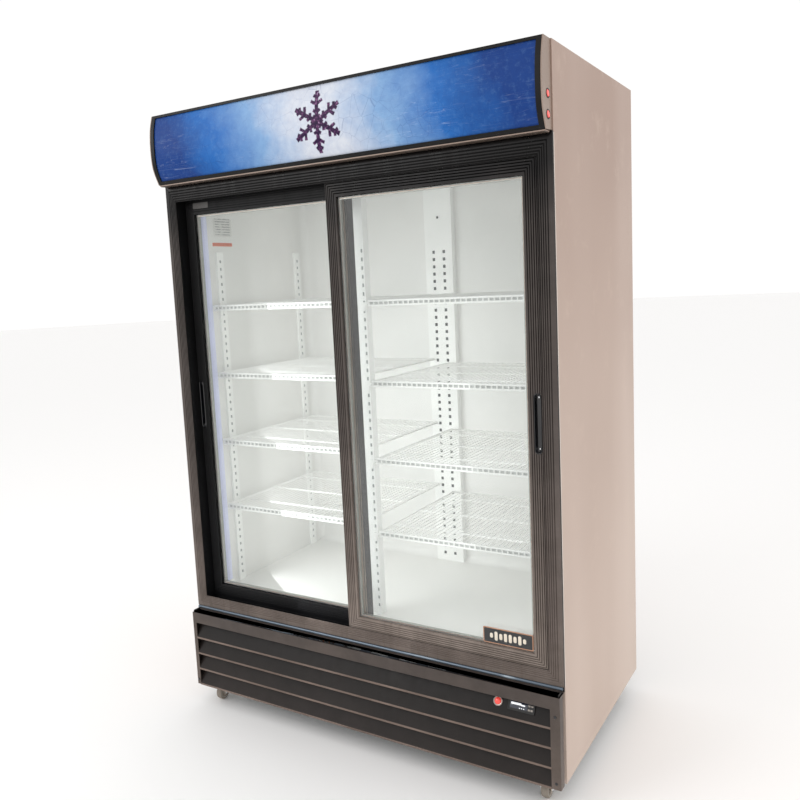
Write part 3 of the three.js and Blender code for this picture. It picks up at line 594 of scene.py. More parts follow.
def add_turned(bm, axis, middle, profile, sides=24, look=0, caps=True):
    """A lathed shape: profile is (radius, place along the axis), and middle is the axis's (u, v)."""
    rings = []
    for radius, along in profile:
        turn = [2 * math.pi * step / sides for step in range(sides)]
        radius = max(radius, 0.01)
        ring = [(middle[0] + radius * math.cos(a), middle[1] + radius * math.sin(a)) for a in turn]
        rings.append([on_axis(axis, u, v, along) for u, v in ring])
    add_loft(bm, rings, look, caps)


def rounded(half_u, half_v, radius, steps=5, middle=(0, 0)):
    """A rounded rectangle's outline: a stadium where the radius is the smaller half side."""
    points = []
    for corner, (su, sv) in enumerate(((1, 1), (-1, 1), (-1, -1), (1, -1))):
        for step in range(steps + 1):
            angle = math.pi / 2 * (corner + step / steps)
            u = su * (half_u - radius) + radius * math.cos(angle)
            v = sv * (half_v - radius) + radius * math.sin(angle)
            points.append((middle[0] + u, middle[1] + v))
    return points


def add_dish(bm, axis, middle, steps, look=0, sections=5):
    """Lofts rounded rectangles: each step is (half u, half v, radius, place along the axis)."""
    add_loft(bm, [
        [on_axis(axis, u, v, along) for u, v in rounded(hu, hv, radius, sections, middle)]
        for hu, hv, radius, along in steps
    ], look)


def add_ring(bm, x, z, widths, section, gap=0.15, look=0):
    """A rectangular ring in the x-z plane with mitred corners, between the pairs x and z.

    widths are its left, right, bottom and top members, and section a closed outline of (share of
    the width from the outer edge, y)."""
    left, right, bottom, top = widths
    corners = (
        (x[0], z[0], left, bottom), (x[1], z[0], -right, bottom),
        (x[1], z[1], -right, -top), (x[0], z[1], left, -top),
    )
    for index, (x0, z0, wx0, wz0) in enumerate(corners):
        x1, z1, wx1, wz1 = corners[(index + 1) % 4]
        run = Vector((x1 - x0, 0, z1 - z0)).normalized() * gap
        first = [Vector((x0 + t * wx0, y, z0 + t * wz0)) + run for t, y in section]
        second = [Vector((x1 + t * wx1, y, z1 + t * wz1)) - run for t, y in section]
        add_loft(bm, [first, second], look)


def grooved(face, back, grooves, half, depth=0.9):
    """A ring section with a grooved face, and the look of each of its sides: 1 in the grooves."""
    outline, looks = [(0, back), (0, face + 0.4), (0.012, face)], [0, 0, 0]
    for place in grooves:
        outline += [(place - half, face), (place - half * 0.5, face + depth)]
        outline += [(place + half * 0.5, face + depth), (place + half, face)]
        looks += [1, 1, 1, 0]
    outline += [(0.988, face), (1, face + 0.4), (1, back)]
    return outline, looks + [0, 0, 0]


def cut_out(piece, bm):
    """Takes a bmesh, drawn in the cabinet's frame, out of a piece's mesh."""
    bmesh.ops.recalc_face_normals(bm, faces=bm.faces)
    bm.transform(TO_ROW)
    mesh = bpy.data.meshes.new("cutter")
    bm.to_mesh(mesh)
    bm.free()
    cutter = bpy.data.objects.new("cutter", mesh)
    scene.collection.objects.link(cutter)
    modifier = piece.modifiers.new("cut", "BOOLEAN")
    modifier.object = cutter
    modifier.solver = "EXACT"
    bpy.context.view_layer.update()
    graph = bpy.context.evaluated_depsgraph_get()
    cut = bpy.data.meshes.new_from_object(piece.evaluated_get(graph))
    piece.modifiers.remove(modifier)
    piece.data = cut
    bpy.data.objects.remove(cutter)


def add_screw(bm, place, axis=1, radius=4.0, look=0, out=-1):
    """A pan-head screw with a cross recess, its head facing out along the axis."""
    name = "xyz"[axis]
    u, v, w = (place[i] for i in [(1, 2, 0), (0, 2, 1), (0, 1, 2)][axis])
    dome = [(radius, 0.0), (radius, 0.35), (radius * 0.85, 0.8), (radius * 0.62, 1.0)]
    add_turned(bm, name, (u, v), [(r, w + out * h * radius * 0.5) for r, h in dome], 20, look)
    arm, thin = radius * 0.55, radius * 0.13
    for wide, high in ((arm, thin), (thin, arm)):
        spots = [(wide, high, 0.0), (wide * 0.8, high * 0.6, 0.22)]
        add_loft(bm, [[on_axis(name, u + a, v + b, w + out * (radius * 0.52 - deep)) for a, b in
                       ((-hw, -hh), (hw, -hh), (hw, hh), (-hw, hh))] for hw, hh, deep in spots], look)


def wires(name, runs, radius, look, body, stands_for=(), sides=3):
    """Bent wires, all of one radius in millimetres: each run is a list of points."""
    curve = bpy.data.curves.new(name, "CURVE")
    curve.dimensions = "3D"
    curve.bevel_depth = radius / 1000
    curve.bevel_resolution = sides
    curve.use_fill_caps = True
    for run in runs:
        spline = curve.splines.new("POLY")
        spline.points.add(len(run) - 1)
        for point, place in zip(spline.points, run):
            point.co = (*(TO_ROW @ Vector(place)), 1)
    curve.materials.append(LOOKS[look].material)
    piece = bpy.data.objects.new(name, curve)
    scene.collection.objects.link(piece)
    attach(piece, body)
    if stands_for:
        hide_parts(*stands_for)
    return piece


def arc(middle, radius, start, end, steps):
    """Points on an arc, as (u, v) pairs, between two angles in degrees."""
    turn = [math.radians(start + (end - start) * step / steps) for step in range(steps + 1)]
    return [(middle[0] + radius * math.cos(a), middle[1] + radius * math.sin(a)) for a in turn]


# ---------------------------------------------------------------- cabinet body

def make_cabinet():
    softened("outer_cabinet", "cabinet", width=1.2, segments=3)
    (x0, x1), (y0, y1), (z0, z1) = extent("outer_cabinet")
    bm = bmesh.new()
    add_box(bm, (x0 + 14, x1 - 14), (y1 - 0.2, y1 + 1.0), (z0 + 290, z1 - 14))
    for z in (z0 + 310, (z0 + z1) / 2 + 140, z1 - 34):
        for step in range(6):
            add_screw(bm, (x0 + 34 + (x1 - x0 - 68) * step / 5, y1 + 1.0, z), 1, 4.5, 0, 1)
    new_piece("back_sheet", bm, "cabinet", "root", bevel=0.4)
    bm = bmesh.new()
    add_box(bm, (x0 + 10, x1 - 10), (y0 + 60, y1 - 10), (z1 - 0.2, z1 + 1.0))
    for x in (x0 + 26, 0, x1 - 26):
        for y in (y0 + 80, y1 - 26):
            add_screw(bm, (x, y, z1 + 1.0), 2, 4.5, 0, 1)
    new_piece("roof_sheet", bm, "cabinet", "root", bevel=0.4)


LINER_HALF = 614.0
LINER_BACK = 677.0
LINER_FLOOR = 320.0
LINER_COVE = 26
EVAPORATOR_BOTTOM = extent("evaporator_cover")[2][0]


def make_liner():
    """The white inside: the liner itself, with coved corners where its walls meet."""
    softened("inner_liner", "liner", width=0.8)
    wall_x, wall_y = LINER_HALF, LINER_BACK
    cove = LINER_COVE
    bm = bmesh.new()
    for side in (-1, 1):
        corner = (side * wall_x, wall_y)
        quarter = arc((0, 0), cove, 0, 90, 6)
        bend = [(corner[0] - side * (cove - u), corner[1] - (cove - v)) for u, v in quarter]
        add_prism(bm, "z", [(corner[0] + side, corner[1] + 1), *bend], LINER_FLOOR, EVAPORATOR_BOTTOM - 1)
    add_prism(bm, "x", [(wall_y + 1, LINER_FLOOR - 1)] + [
        (wall_y - cove + u, LINER_FLOOR + cove - v) for u, v in arc((0, 0), cove, 0, 90, 6)
    ], -wall_x, wall_x)
    new_piece("liner_coves", bm, "liner", "root")


# ---------------------------------------------------------------- door surround

SURROUND_GROOVES = (0.36, 0.52, 0.66, 0.8, 0.93)


def make_surround():
    for node in ("frame_jamb_left", "frame_jamb_right", "frame_sill", "frame_head"):
        softened(node, "channel", width=0.5)
    z0 = extent("frame_jamb_right")[2][0]
    inner = -extent("frame_jamb_left")[0][1]
    outer = extent("frame_jamb_right")[0][1]
    member = outer - inner
    lip_top = extent("frame_sill")[2][1]
    head_bottom = extent("frame_head")[2][0]
    section, looks = grooved(-1.6, 0.3, SURROUND_GROOVES, 0.035)
    bm = bmesh.new()
    top = extent("canopy_bezel")[2][0] - 0.6
    widths = (member, member, lip_top - z0, top - head_bottom)
    add_ring(bm, (-outer + 0.3, outer - 0.3), (z0 + 0.3, top), widths, section, look=looks)
    # the second look paints shade into the face's grooves
    new_piece("surround_face", bm, ["frame", "groove_shade"], "root", bevel=0.12, segments=1)
    make_sill_bead(outer)
    make_bumper()
    make_corner_highlight_strips()


def make_sill_bead(half):
    """The glossy round bead along the foot of the surround, on the grille's upstand: its blue-grey tone
    with paler streaks is a painted highlight.
    """
    middle = (extent("frame_sill")[1][0] - 1.4, extent("frame_sill")[2][0] - 5.2)
    bm = bmesh.new()
    add_prism(bm, "x", arc(middle, 4.6, 0, 342, 19), -half + 3, half - 3)
    new_piece("sill_bead", bm, "bead", "root")
    bm = bmesh.new()
    add_box(bm, (-half + 1, half - 1), (middle[0] + 1.5, middle[0] + 7.0), (middle[1] - 9, middle[1] + 5.4))
    new_piece("sill_backing", bm, "channel", "root", bevel=0.4)


def make_corner_highlight_strips():
    """A pale strip on the folded edge of each side panel, next to the black surround: a painted highlight.
    """
    (x0, x1), (y0, _), _ = extent("outer_cabinet")
    low, high = extent("frame_jamb_right")[2]
    bm = bmesh.new()
    for edge, way in ((x0, -1), (x1, 1)):
        add_box(bm, sorted((edge - way * 0.2, edge + way * 0.7)), (y0 + 0.2, y0 + 3.0), (low, high - 4))
    new_piece("corner_highlight_strips", bm, "trim", "root", bevel=0.3)


def make_bumper():
    """A rubber stop in the front track, at its left end."""
    floor = extent("frame_sill")[2][0] + 12
    left = extent("frame_jamb_left")[0][1]
    bm = bmesh.new()
    add_dish(bm, "z", (left + 4.6, 14), [(4, 8, 3, floor), (4, 8, 3, floor + 16), (3, 6, 2, floor + 18)])
    new_piece("track_bumper", bm, "rubber", "root")


# ---------------------------------------------------------------- sliding doors

STILE = extent("rear_door_glass")[0][0] - extent("rear_door_frame")[0][0]
STILE_GROOVES = (0.1, 0.27, 0.44, 0.61, 0.78)


def make_door(name, looks):
    (x0, x1), _, (z0, z1) = extent(f"{name}_frame")
    glass_x, glass_y, glass_z = extent(f"{name}_glass")
    face = glass_y[0] - 5
    softened(f"{name}_frame", looks[0], name, 0.5)
    bm = bmesh.new()
    widths = (STILE, STILE, glass_z[0] - z0, z1 - glass_z[1])
    members = (STILE - 0.4, STILE - 0.4, widths[2] - 17.7, widths[3] - 8.2)
    section, faces = grooved(face - 0.9, face + 0.3, STILE_GROOVES, 0.035)
    add_ring(bm, (x0 + 0.2, x1 - 0.2), (z0 + 17.5, z1 - 8), members, section, look=faces)
    capping = new_piece(f"{name}_face", bm, looks, name, bevel=0.12, segments=1)
    pull_x, _, pull_z = extent(f"{name}_pull")
    middle, height = (sum(pull_x) / 2, sum(pull_z) / 2)
    bm = bmesh.new()
    half = (pull_z[1] - pull_z[0]) / 2 + 0.4
    width = (pull_x[1] - pull_x[0]) / 2 + 0.4
    steps = [(width, half, width, face + way * 4) for way in (-1, 1)]
    add_dish(bm, "y", (middle, height), steps, sections=8)
    cut_out(capping, bm)
    make_glazing(name, glass_x, glass_y, glass_z, looks[0])
    make_pull(name, middle, height)
    make_rollers(name)


def make_glazing(name, x, y, z, bead_look):
    """Two panes with an aluminium spacer between them, and the black bead round their edge."""
    pane = 4.0
    bm = bmesh.new()
    for front in (y[0], y[1] - pane):
        add_box(bm, x, (front, front + pane), z)
    new_piece(f"{name}_panes", bm, "pane", name, (f"{name}_glass",))
    bm = bmesh.new()
    spacer = (y[0] + pane + 0.05, y[1] - pane - 0.05)
    edge = 7.0
    section = [(0, spacer[0]), (0.52, spacer[0]), (0.52, spacer[0] + 0.6), (0.62, spacer[0] + 0.6)]
    section += [(0.62, spacer[0]), (1, spacer[0]), (1, spacer[1]), (0, spacer[1])]
    faces = [0, 1, 1, 1, 0, 0, 0, 0]
    add_ring(bm, (x[0] + 0.5, x[1] - 0.5), (z[0] + 0.5, z[1] - 0.5), (edge,) * 4, section, 0, faces)
    new_piece(f"{name}_spacer", bm, ["spacer", "copper"], name)
    bm = bmesh.new()
    bead = [(0, y[0] - 2.4), (0.35, y[0] - 2.6), (0.9, y[0] - 1.2), (1, y[0] - 0.2), (0, y[0] - 0.2)]
    add_ring(bm, x, z, (1.2,) * 4, bead, gap=0.05)
    new_piece(f"{name}_bead", bm, bead_look, name)


def make_pull(name, middle, height):
    """The stadium-shaped finger pull, a smooth cup inside a raised rim."""
    (x0, x1), (y0, y1), (z0, z1) = extent(f"{name}_pull")
    half_x, half_z = (x1 - x0) / 2, (z1 - z0) / 2
    deep = y1 - 1.2
    insets = [
        (1.6, 1.6, y1), (0.6, 0.8, y0 + 2.4), (0, 0, y0 + 0.9), (0.5, 0.5, y0 + 0.1), (1.2, 1.2, y0),
        (1.9, 1.9, y0 + 0.5), (2.6, 3.0, y0 + 4.0), (3.8, 9.0, deep - 1.5), (6.0, 16.0, deep),
    ]
    steps = [(half_x - side, half_z - end, half_x - side, y) for side, end, y in insets]
    bm = bmesh.new()
    add_dish(bm, "y", (middle, height), steps, sections=10)
    new_piece(f"{name}_pull_cup", bm, "gloss_black", name, (f"{name}_pull",), smooth=60)
    bm = bmesh.new()
    for way in (-1, 1):
        add_screw(bm, (middle, deep - 1.6, height + way * (half_z - 12)), 1, 3.0)
    new_piece(f"{name}_pull_screws", bm, "chrome", name)


def make_rollers(name):
    for end in ("meeting", "outer"):
        node = f"{name}_roller_{end}"
        (x0, x1), (y0, y1), (z0, z1) = extent(node)
        middle, radius, bore = ((x0 + x1) / 2, (z0 + z1) / 2), (z1 - z0) / 2, 3.3
        half = [(bore, 0), (radius - 3.4, 0), (radius - 3.0, 1), (radius - 0.7, 1), (radius, 1.8)]
        profile = [(r, y0 + rise) for r, rise in half] + [(r, y1 - rise) for r, rise in reversed(half)]
        profile.append(profile[0])
        bm = bmesh.new()
        add_turned(bm, "y", middle, profile, 32, caps=False)
        bmesh.ops.remove_doubles(bm, verts=bm.verts, dist=1e-4)
        new_piece(f"{node}_tyre", bm, "nylon", node, (node,))


def make_badge():
    """A small generic plate on the front door's glass: a border round a plain motif of bars."""
    (_, x1), (y0, _), (z0, _) = extent("front_door_glass")
    plate_x, plate_z = (x1 - 152, x1 - 4), (z0 + 4, z0 + 50)
    middle = (sum(plate_x) / 2, sum(plate_z) / 2)
    half = ((plate_x[1] - plate_x[0]) / 2, (plate_z[1] - plate_z[0]) / 2)
    bm = bmesh.new()
    for inset, corner, back, front, look in ((0, 3, 0.1, 1.1, 1), (3, 2, 1.1, 1.5, 0)):
        steps = [(half[0] - inset, half[1] - inset, corner, y0 - out) for out in (back, front)]
        add_dish(bm, "y", middle, steps, look)
    for step, tall in enumerate((7, 13, 9, 12, 12, 9, 13, 7)):
        spot = (middle[0] + (step - 3.5) * 14, middle[1])
        add_dish(bm, "y", spot, [(4.6, tall, 4, y0 - 1.5), (4.0, tall - 1, 3.6, y0 - 1.9)], 2)
    new_piece("glass_badge", bm, ["gloss_black", "copper_paint", "cream"], "front_door")


def make_doors():
    # rib paints shade into the front door's grooves
    make_door("front_door", ["door", "rib"])
    make_door("rear_door", ["channel", "channel"])
    make_badge()
    make_meeting_strips()


def make_meeting_strips():
    """The strip on the left door's meeting stile, in pale tones that are a painted reflection, its screw,
    and the top rail's ribbed end plate.
    """
    (x0, x1), (y0, _), (z0, z1) = extent("rear_door_frame")
    bm = bmesh.new()
    add_box(bm, (x1 - 35, x1 - 10), (y0 - 1.5, y0 + 0.2), (z0 + 20, z1 - 20))
    add_box(bm, (x1 - 9.7, x1 - 0.4), (y0 - 0.9, y0 + 0.2), (z0 + 20, z1 - 20), 1)
    new_piece("rear_door_interlock", bm, ["strip", "strip_edge"], "rear_door", bevel=0.4)
    bm = bmesh.new()
    add_screw(bm, (x1 - 6, y0 - 0.9, z1 - 58), 1, 3.0)
    new_piece("rear_door_screw", bm, "chrome", "rear_door")
    bm = bmesh.new()
    plate = (x0 + STILE - 2, x0 + STILE + 64)
    add_box(bm, plate, (y0 - 2.0, y0 - 0.9), (z1 - 33, z1 - 14))
    for step in range(12):
        rib = plate[0] + 3 + step * 5.2
        add_box(bm, (rib, rib + 2.6), (y0 - 2.5, y0 - 2.0), (z1 - 31, z1 - 16))
    new_piece("rear_door_end_plate", bm, "plate", "rear_door", bevel=0.2, segments=1)


# ---------------------------------------------------------------- canopy

def make_canopy():
    softened("canopy_housing", "beige", width=0.4, segments=1)
    softened("canopy_bezel", "bezel", width=0.9)
    softened("canopy_face_panel", "print", width=0.3, segments=1)
    for side in ("left", "right"):
        softened(f"canopy_end_cap_{side}", "beige", width=0.7)
    make_drip_lip()
    make_lamp_tube()
    make_switches()


def make_drip_lip():
    """The two thin folded edges that show beneath the bezel, in a dark tone that is painted shade under it.
    """
    (x0, x1), _, (z0, _) = extent("canopy_bezel")
    bm = bmesh.new()
    for drop, setback in ((0.6, -0.6), (3.4, 1.2)):
        fold = [(0, 0), (-1.0, -0.9), (0, -1.8), (22, -1.8), (22, 0)]
        add_prism(bm, "x", [(y + setback - 28, z - drop + z0) for y, z in fold], x0 + 1, x1 - 1)
    new_piece("shaded_drip_lip", bm, "lip_shadow", "root", bevel=0.2, segments=1)


def make_lamp_tube():
    (x0, x1), (y0, y1), (z0, z1) = extent("canopy_lamp_tube")
    radius, middle = (z1 - z0) / 2, ((y0 + y1) / 2, (z0 + z1) / 2)
    bm = bmesh.new()
    add_turned(bm, "x", middle, [(radius - 0.6, x0 + 22), (radius - 0.2, x0 + 24), (radius - 0.2, x1 - 24),
                                 (radius - 0.6, x1 - 22)], 28, 0)
    for end, way in ((x0, 1), (x1, -1)):
        cap = [(0.8, 0), (1, 2), (1, 26), (0.9, 27)]
        add_turned(bm, "x", middle, [(radius * r, end + way * along) for r, along in cap], 28, 1)
    new_piece("lamp_tube_look", bm, ["tube", "aluminium"], "root", ("canopy_lamp_tube",))


def make_switches():
    """Two round red rockers in dark rings, on the right end cap."""
    for place in ("upper", "lower"):
        node = f"light_switch_{place}"
        softened(node, "red", node, 1.2, 3)
        _, (y0, y1), (z0, z1) = extent(node)
        cap_x = extent("canopy_end_cap_right")[0][1]
        radius = (y1 - y0) / 2
        ring = [(radius + 0.7, cap_x - 2), (radius + 0.7, cap_x + 0.6), (radius + 1.5, cap_x + 1.3),
                (radius + 3.0, cap_x + 0.9), (radius + 3.4, cap_x + 0.1), (radius + 3.2, cap_x - 0.2),
                (radius + 0.7, cap_x - 2)]
        bm = bmesh.new()
        add_turned(bm, "x", ((y0 + y1) / 2, (z0 + z1) / 2), ring, 40, caps=False)
        bmesh.ops.remove_doubles(bm, verts=bm.verts, dist=1e-4)
        new_piece(f"{node}_ring", bm, "plastic", "root")


# ---------------------------------------------------------------- lower grille

BLADE_DEPTH, BLADE_RISE, TOP_BLADE = 24.0, 44.0, 177.2
LOUVRE_PITCH, LOUVRE_LEFT, LOUVRE_RIGHT = 56.8, -646.8, 633.8
CONTROL_RISE = 34.0
GRILLE_SCREW_HEIGHTS = {"high": 209, "low": 19}


def gloss_ledge(bm):
    """Gives the grille's level top the second look, the one with painted reflection streaks."""
    top = max(vert.co.z for vert in bm.verts)
    for face in bm.faces:
        if face.normal.z > 0.9 and face.calc_center_median().z > top - 16:
            face.material_index = 1


def make_grille():
    softened("grille_panel", ["grille", "ledge_reflections"], width=0.3, segments=1, extra=gloss_ledge)
    (x0, x1), (front, _), (z0, z1) = extent("grille_panel")
    blades, lips = bmesh.new(), bmesh.new()
    for row in range(4):
        foot, low = front + 0.6, TOP_BLADE - row * LOUVRE_PITCH
        slope = [(0, 0), (BLADE_DEPTH, BLADE_RISE), (BLADE_DEPTH - 1, BLADE_RISE), (-0.5, 0.2)]
        # painted shade: the sloping blades take the darker blade look
        add_prism(blades, "x", [(foot + y, low + z) for y, z in slope], LOUVRE_LEFT, LOUVRE_RIGHT)
        # painted highlight: the hems take a paler look along their edges
        hem = [(-0.3, 0), (-0.9, -0.7), (-0.9, -5.6), (-0.3, -6.2), (2.6, -6.2), (2.6, 0)]
        hem = [(front + y, low + z) for y, z in hem]
        add_prism(lips, "x", hem, LOUVRE_LEFT - 0.5, LOUVRE_RIGHT + 0.5)
    new_piece("louvre_blades", blades, "blade", "root")
    new_piece("louvre_lip_highlights", lips, "lips", "root")
    bm = bmesh.new()
    for x, level in ((x1 - 13, "high"), (x1 - 13, "low"), (x0 + 7, "low")):
        add_screw(bm, (x, front, GRILLE_SCREW_HEIGHTS[level]), 1, 4.2)
    new_piece("grille_screws", bm, "gloss_black", "root")
    # Return plates inside the grille's ends, in the darker blade look: painted shade at the ends of the
    # bays.
    bm = bmesh.new()
    for edge, way in ((x0, 1), (x1, -1)):
        add_box(bm, sorted((edge + way * 3.2, edge + way * 5.0)), (front + 3, -1.5), (z0 + 3, z1 - 3))
    new_piece("grille_baffles", bm, "blade", "root", bevel=0.3)
    make_lamp()
    make_controller()


def slope_frame(place, rise):
    """The frame of the top louvre blade: x along it, y up its slope, and z out of its face."""
    (_, _), (front, _), _ = extent("grille_panel")
    angle = math.atan2(BLADE_DEPTH, BLADE_RISE)
    up = Vector((0, math.sin(angle), math.cos(angle)))
    out = Vector((0, -math.cos(angle), math.sin(angle)))
    origin = Vector((place, front, TOP_BLADE)) + up * rise
    turn = Matrix((Vector((1, 0, 0)), up, out)).transposed().to_4x4()
    return Matrix.Translation(origin) @ turn


def on_slope(name, place, build, looks, replaced):
    bm = bmesh.new()
    build(bm)
    bm.transform(slope_frame(place, CONTROL_RISE))
    return new_piece(name, bm, looks, "root", replaced)


def make_lamp():
    middle = sum(extent("pilot_lamp")[0]) / 2

    def build(bm):
        ring = [(9.7, -18), (9.7, 0.6), (13.6, 0.6), (14.0, 1.2)]
        ring += [(13.4, 2.6), (11.6, 3.4), (10.0, 3.0), (9.4, 2.0)]
        add_turned(bm, "z", (0, 0), ring, 36, 0)
        lens = [(9.3, 1.6), (9.3, 3.6), (8.2, 5.4), (5.6, 6.6), (2.4, 7.1), (0.1, 7.2)]
        add_turned(bm, "z", (0, 0), lens, 36, 1)

    on_slope("pilot_lamp_look", middle, build, ["lamp_ring", "red"], ("pilot_lamp",))


def make_controller():
    middle = sum(extent("temperature_controller")[0]) / 2

    def build(bm):
        add_dish(bm, "z", (0, 0), [(34.6, 11.6, 2, -29), (34.6, 11.6, 2, 0.6)], 0)
        rim = [(38.6, 14.6, 3, 0.5), (39, 15, 3, 1.4), (39, 15, 3, 3.4)]
        rim += [(38, 14, 2.6, 4.3), (36.6, 12.6, 2, 4.3)]
        add_dish(bm, "z", (0, 0), [*rim, (36.2, 12.2, 2, 3.2)], 0)
        add_dish(bm, "z", (-7, 1), [(25, 9.4, 2, 3.1), (25, 9.4, 2, 3.7), (24.4, 8.8, 2, 4.0)], 1)
        add_dish(bm, "z", (-15, 4.2), [(15, 3.0, 1.8, 3.9), (14.6, 2.6, 1.6, 4.15)], 3)
        add_dish(bm, "z", (5, 2.4), [(6, 2.0, 1.2, 3.9), (5.8, 1.8, 1.0, 4.15)], 3)
        for row in (-5.5, 5.5):
            for column in (23.0, 31.0):
                key = [(3.2, 2.6, 1.4, 3.0), (3.2, 2.6, 1.4, 4.2), (2.6, 2.0, 1.2, 4.6)]
                add_dish(bm, "z", (column, row), key, 2)
        for dot in (-4, 2, 8):
            add_dish(bm, "z", (dot, -6.0), [(1.6, 1.2, 0.6, 3.9), (1.5, 1.1, 0.5, 4.2)], 3)

    looks = ["plastic", "display", "interlock", "glare"]
    on_slope("temperature_controller_look", middle, build, looks, ("temperature_controller",))


# ---------------------------------------------------------------- interior

def add_slotted(bm, axis, u_edges, v_edges, face, pocket, back):
    """A strip whose face, square to an axis, has rows of rectangular pockets.

    Every second gap between neighbouring edges is a pocket, both along u and along v."""
    spots = {}

    def spot(i, j, w):
        if (i, j, w) not in spots:
            spots[i, j, w] = bm.verts.new(on_axis(axis, u_edges[i], v_edges[j], w))
        return spots[i, j, w]

    def quad(corners, look):
        bm.faces.new([spot(*corner) for corner in corners]).material_index = look

    for i in range(len(u_edges) - 1):
        for j in range(len(v_edges) - 1):
            corners = [(i, j), (i + 1, j), (i + 1, j + 1), (i, j + 1)]
            hole = i % 2 == 1 and j % 2 == 1
            quad([(*corner, pocket if hole else face) for corner in corners], 1 if hole else 0)
            if hole:
                for first, second in zip(corners, corners[1:] + corners[:1]):
                    quad([(*first, face), (*second, face), (*second, pocket), (*first, pocket)], 0)
    last_u, last_v = len(u_edges) - 1, len(v_edges) - 1
    rim = [(i, 0) for i in range(last_u)] + [(last_u, j) for j in range(last_v)]
    rim += [(i, last_v) for i in range(last_u, 0, -1)] + [(0, j) for j in range(last_v, 0, -1)]
    for first, second in zip(rim, rim[1:] + rim[:1]):
        quad([(*first, face), (*second, face), (*second, back), (*first, back)], 0)
    bm.faces.new([spot(*corner, back) for corner in rim]).material_index = 0


def hole_edges(low, high, centres, size):
    edges = [low]
    for centre in centres:
        edges += [centre - size / 2, centre + size / 2]
    return [*edges, high]


def pitches(low, high, pitch):
    count = int((high - low) / pitch) + 1
    return [low + index * pitch for index in range(count)]


SLOT_PITCH = 26.0
CENTRE_SLOTS_TOP = 1477
PLUG_HEIGHT = 1590


def make_pilasters():
    for side in ("left", "right"):
        for end in ("front", "rear"):
            node = f"pilaster_{side}_{end}"
            (x0, x1), (y0, y1), (z0, z1) = extent(node)
            face, back = (x1, x0) if side == "left" else (x0, x1)
            deep = face + 2.2 * (1 if back > face else -1)
            across = hole_edges(y0, y1, [(y0 + y1) / 2], 9)
            up = hole_edges(z0, z1, pitches(z0 + 30, z1 - 10, SLOT_PITCH), 10)
            bm = bmesh.new()
            # painted shade: the pockets' floors take the hole look
            add_slotted(bm, "x", across, up, face, deep, back)
            new_piece(f"{node}_look", bm, ["post", "hole_shade_pale"], "root", (node,))
    # painted shade in the centre posts' slots: pale at the front, dark at the rear
    for node, columns, size, hole in (
        ("pilaster_centre_front", (-15, 15), 7, "hole_shade_pale"),
        ("pilaster_centre_rear", (-20.5, 20.5), 10.5, "hole_shade_dark"),
    ):
        (x0, x1), (y0, y1), (z0, z1) = extent(node)
        up = hole_edges(z0, z1, pitches(z0 + 30, CENTRE_SLOTS_TOP, SLOT_PITCH), 11)
        bm = bmesh.new()
        add_slotted(bm, "y", hole_edges(x0, x1, columns, size), up, y0, y0 + 2.4, y1)
        new_piece(f"{node}_look", bm, ["post", hole], "root", (node,))
    (x0, x1), (y0, _), _ = extent("pilaster_centre_rear")
    bm = bmesh.new()
    plug = [(4.5, y0 - 0.2), (4.5, y0 - 1.2), (3.0, y0 - 1.6)]
    add_turned(bm, "y", ((x0 + x1) / 2, PLUG_HEIGHT), plug, 16)
    new_piece("pilaster_plug", bm, "plastic", "root")


SHELF_WIRE = 1.3
LIP_WIRE = 2.5
SHELF_ROD = 3.1
WIRE_PITCH = 17.0


def make_shelf(node):
    """A welded wire shelf: wires over cross rods, with a turned-down lip between two rails."""
    (x0, x1), (y0, y1), (z0, z1) = extent(node)
    top = z1 - SHELF_WIRE
    count = round((x1 - x0 - 12) / WIRE_PITCH)
    front = y0 + SHELF_ROD
    deck, lip = [], []
    for index in range(count + 1):
        x = x0 + 6 + (x1 - x0 - 12) * index / count
        deck.append([(x, front, top), (x, y1 - 2, top)])
        lip.append([(x, front, z0 + SHELF_ROD), (x, front, z1 - SHELF_ROD)])
    wires(f"{node}_wires", deck, SHELF_WIRE, "wire", "root", (node,), 1)
    wires(f"{node}_lip", lip, LIP_WIRE, "wire", "root", (), 1)
    low = top - SHELF_WIRE - SHELF_ROD + 0.4
    rods = [[(x0 + 3, y, low), (x1 - 3, y, low)] for y in (y0 + 90, (y0 + y1) / 2, y1 - 90)]
    for z in (z0 + SHELF_ROD, z1 - SHELF_ROD):
        rods.append([(x0 + 3, front, z), (x1 - 3, front, z)])
    ring = [(x0 + 3, y0 + 8, low), (x0 + 3, y1 - 3, low), (x1 - 3, y1 - 3, low), (x1 - 3, y0 + 8, low)]
    rods.append(ring)
    wires(f"{node}_rods", rods, SHELF_ROD, "wire", "root", (), 3)
    # A greyer plate behind the lip: painted shade seen between the lip wires.
    bm = bmesh.new()
    add_box(bm, (x0 + 4, x1 - 4), (y0 + 9, y0 + 10.2), (z0 + 3, z1 - 7))
    new_piece(f"{node}_stiffener", bm, "stiffener", "root", bevel=0.3, segments=1)


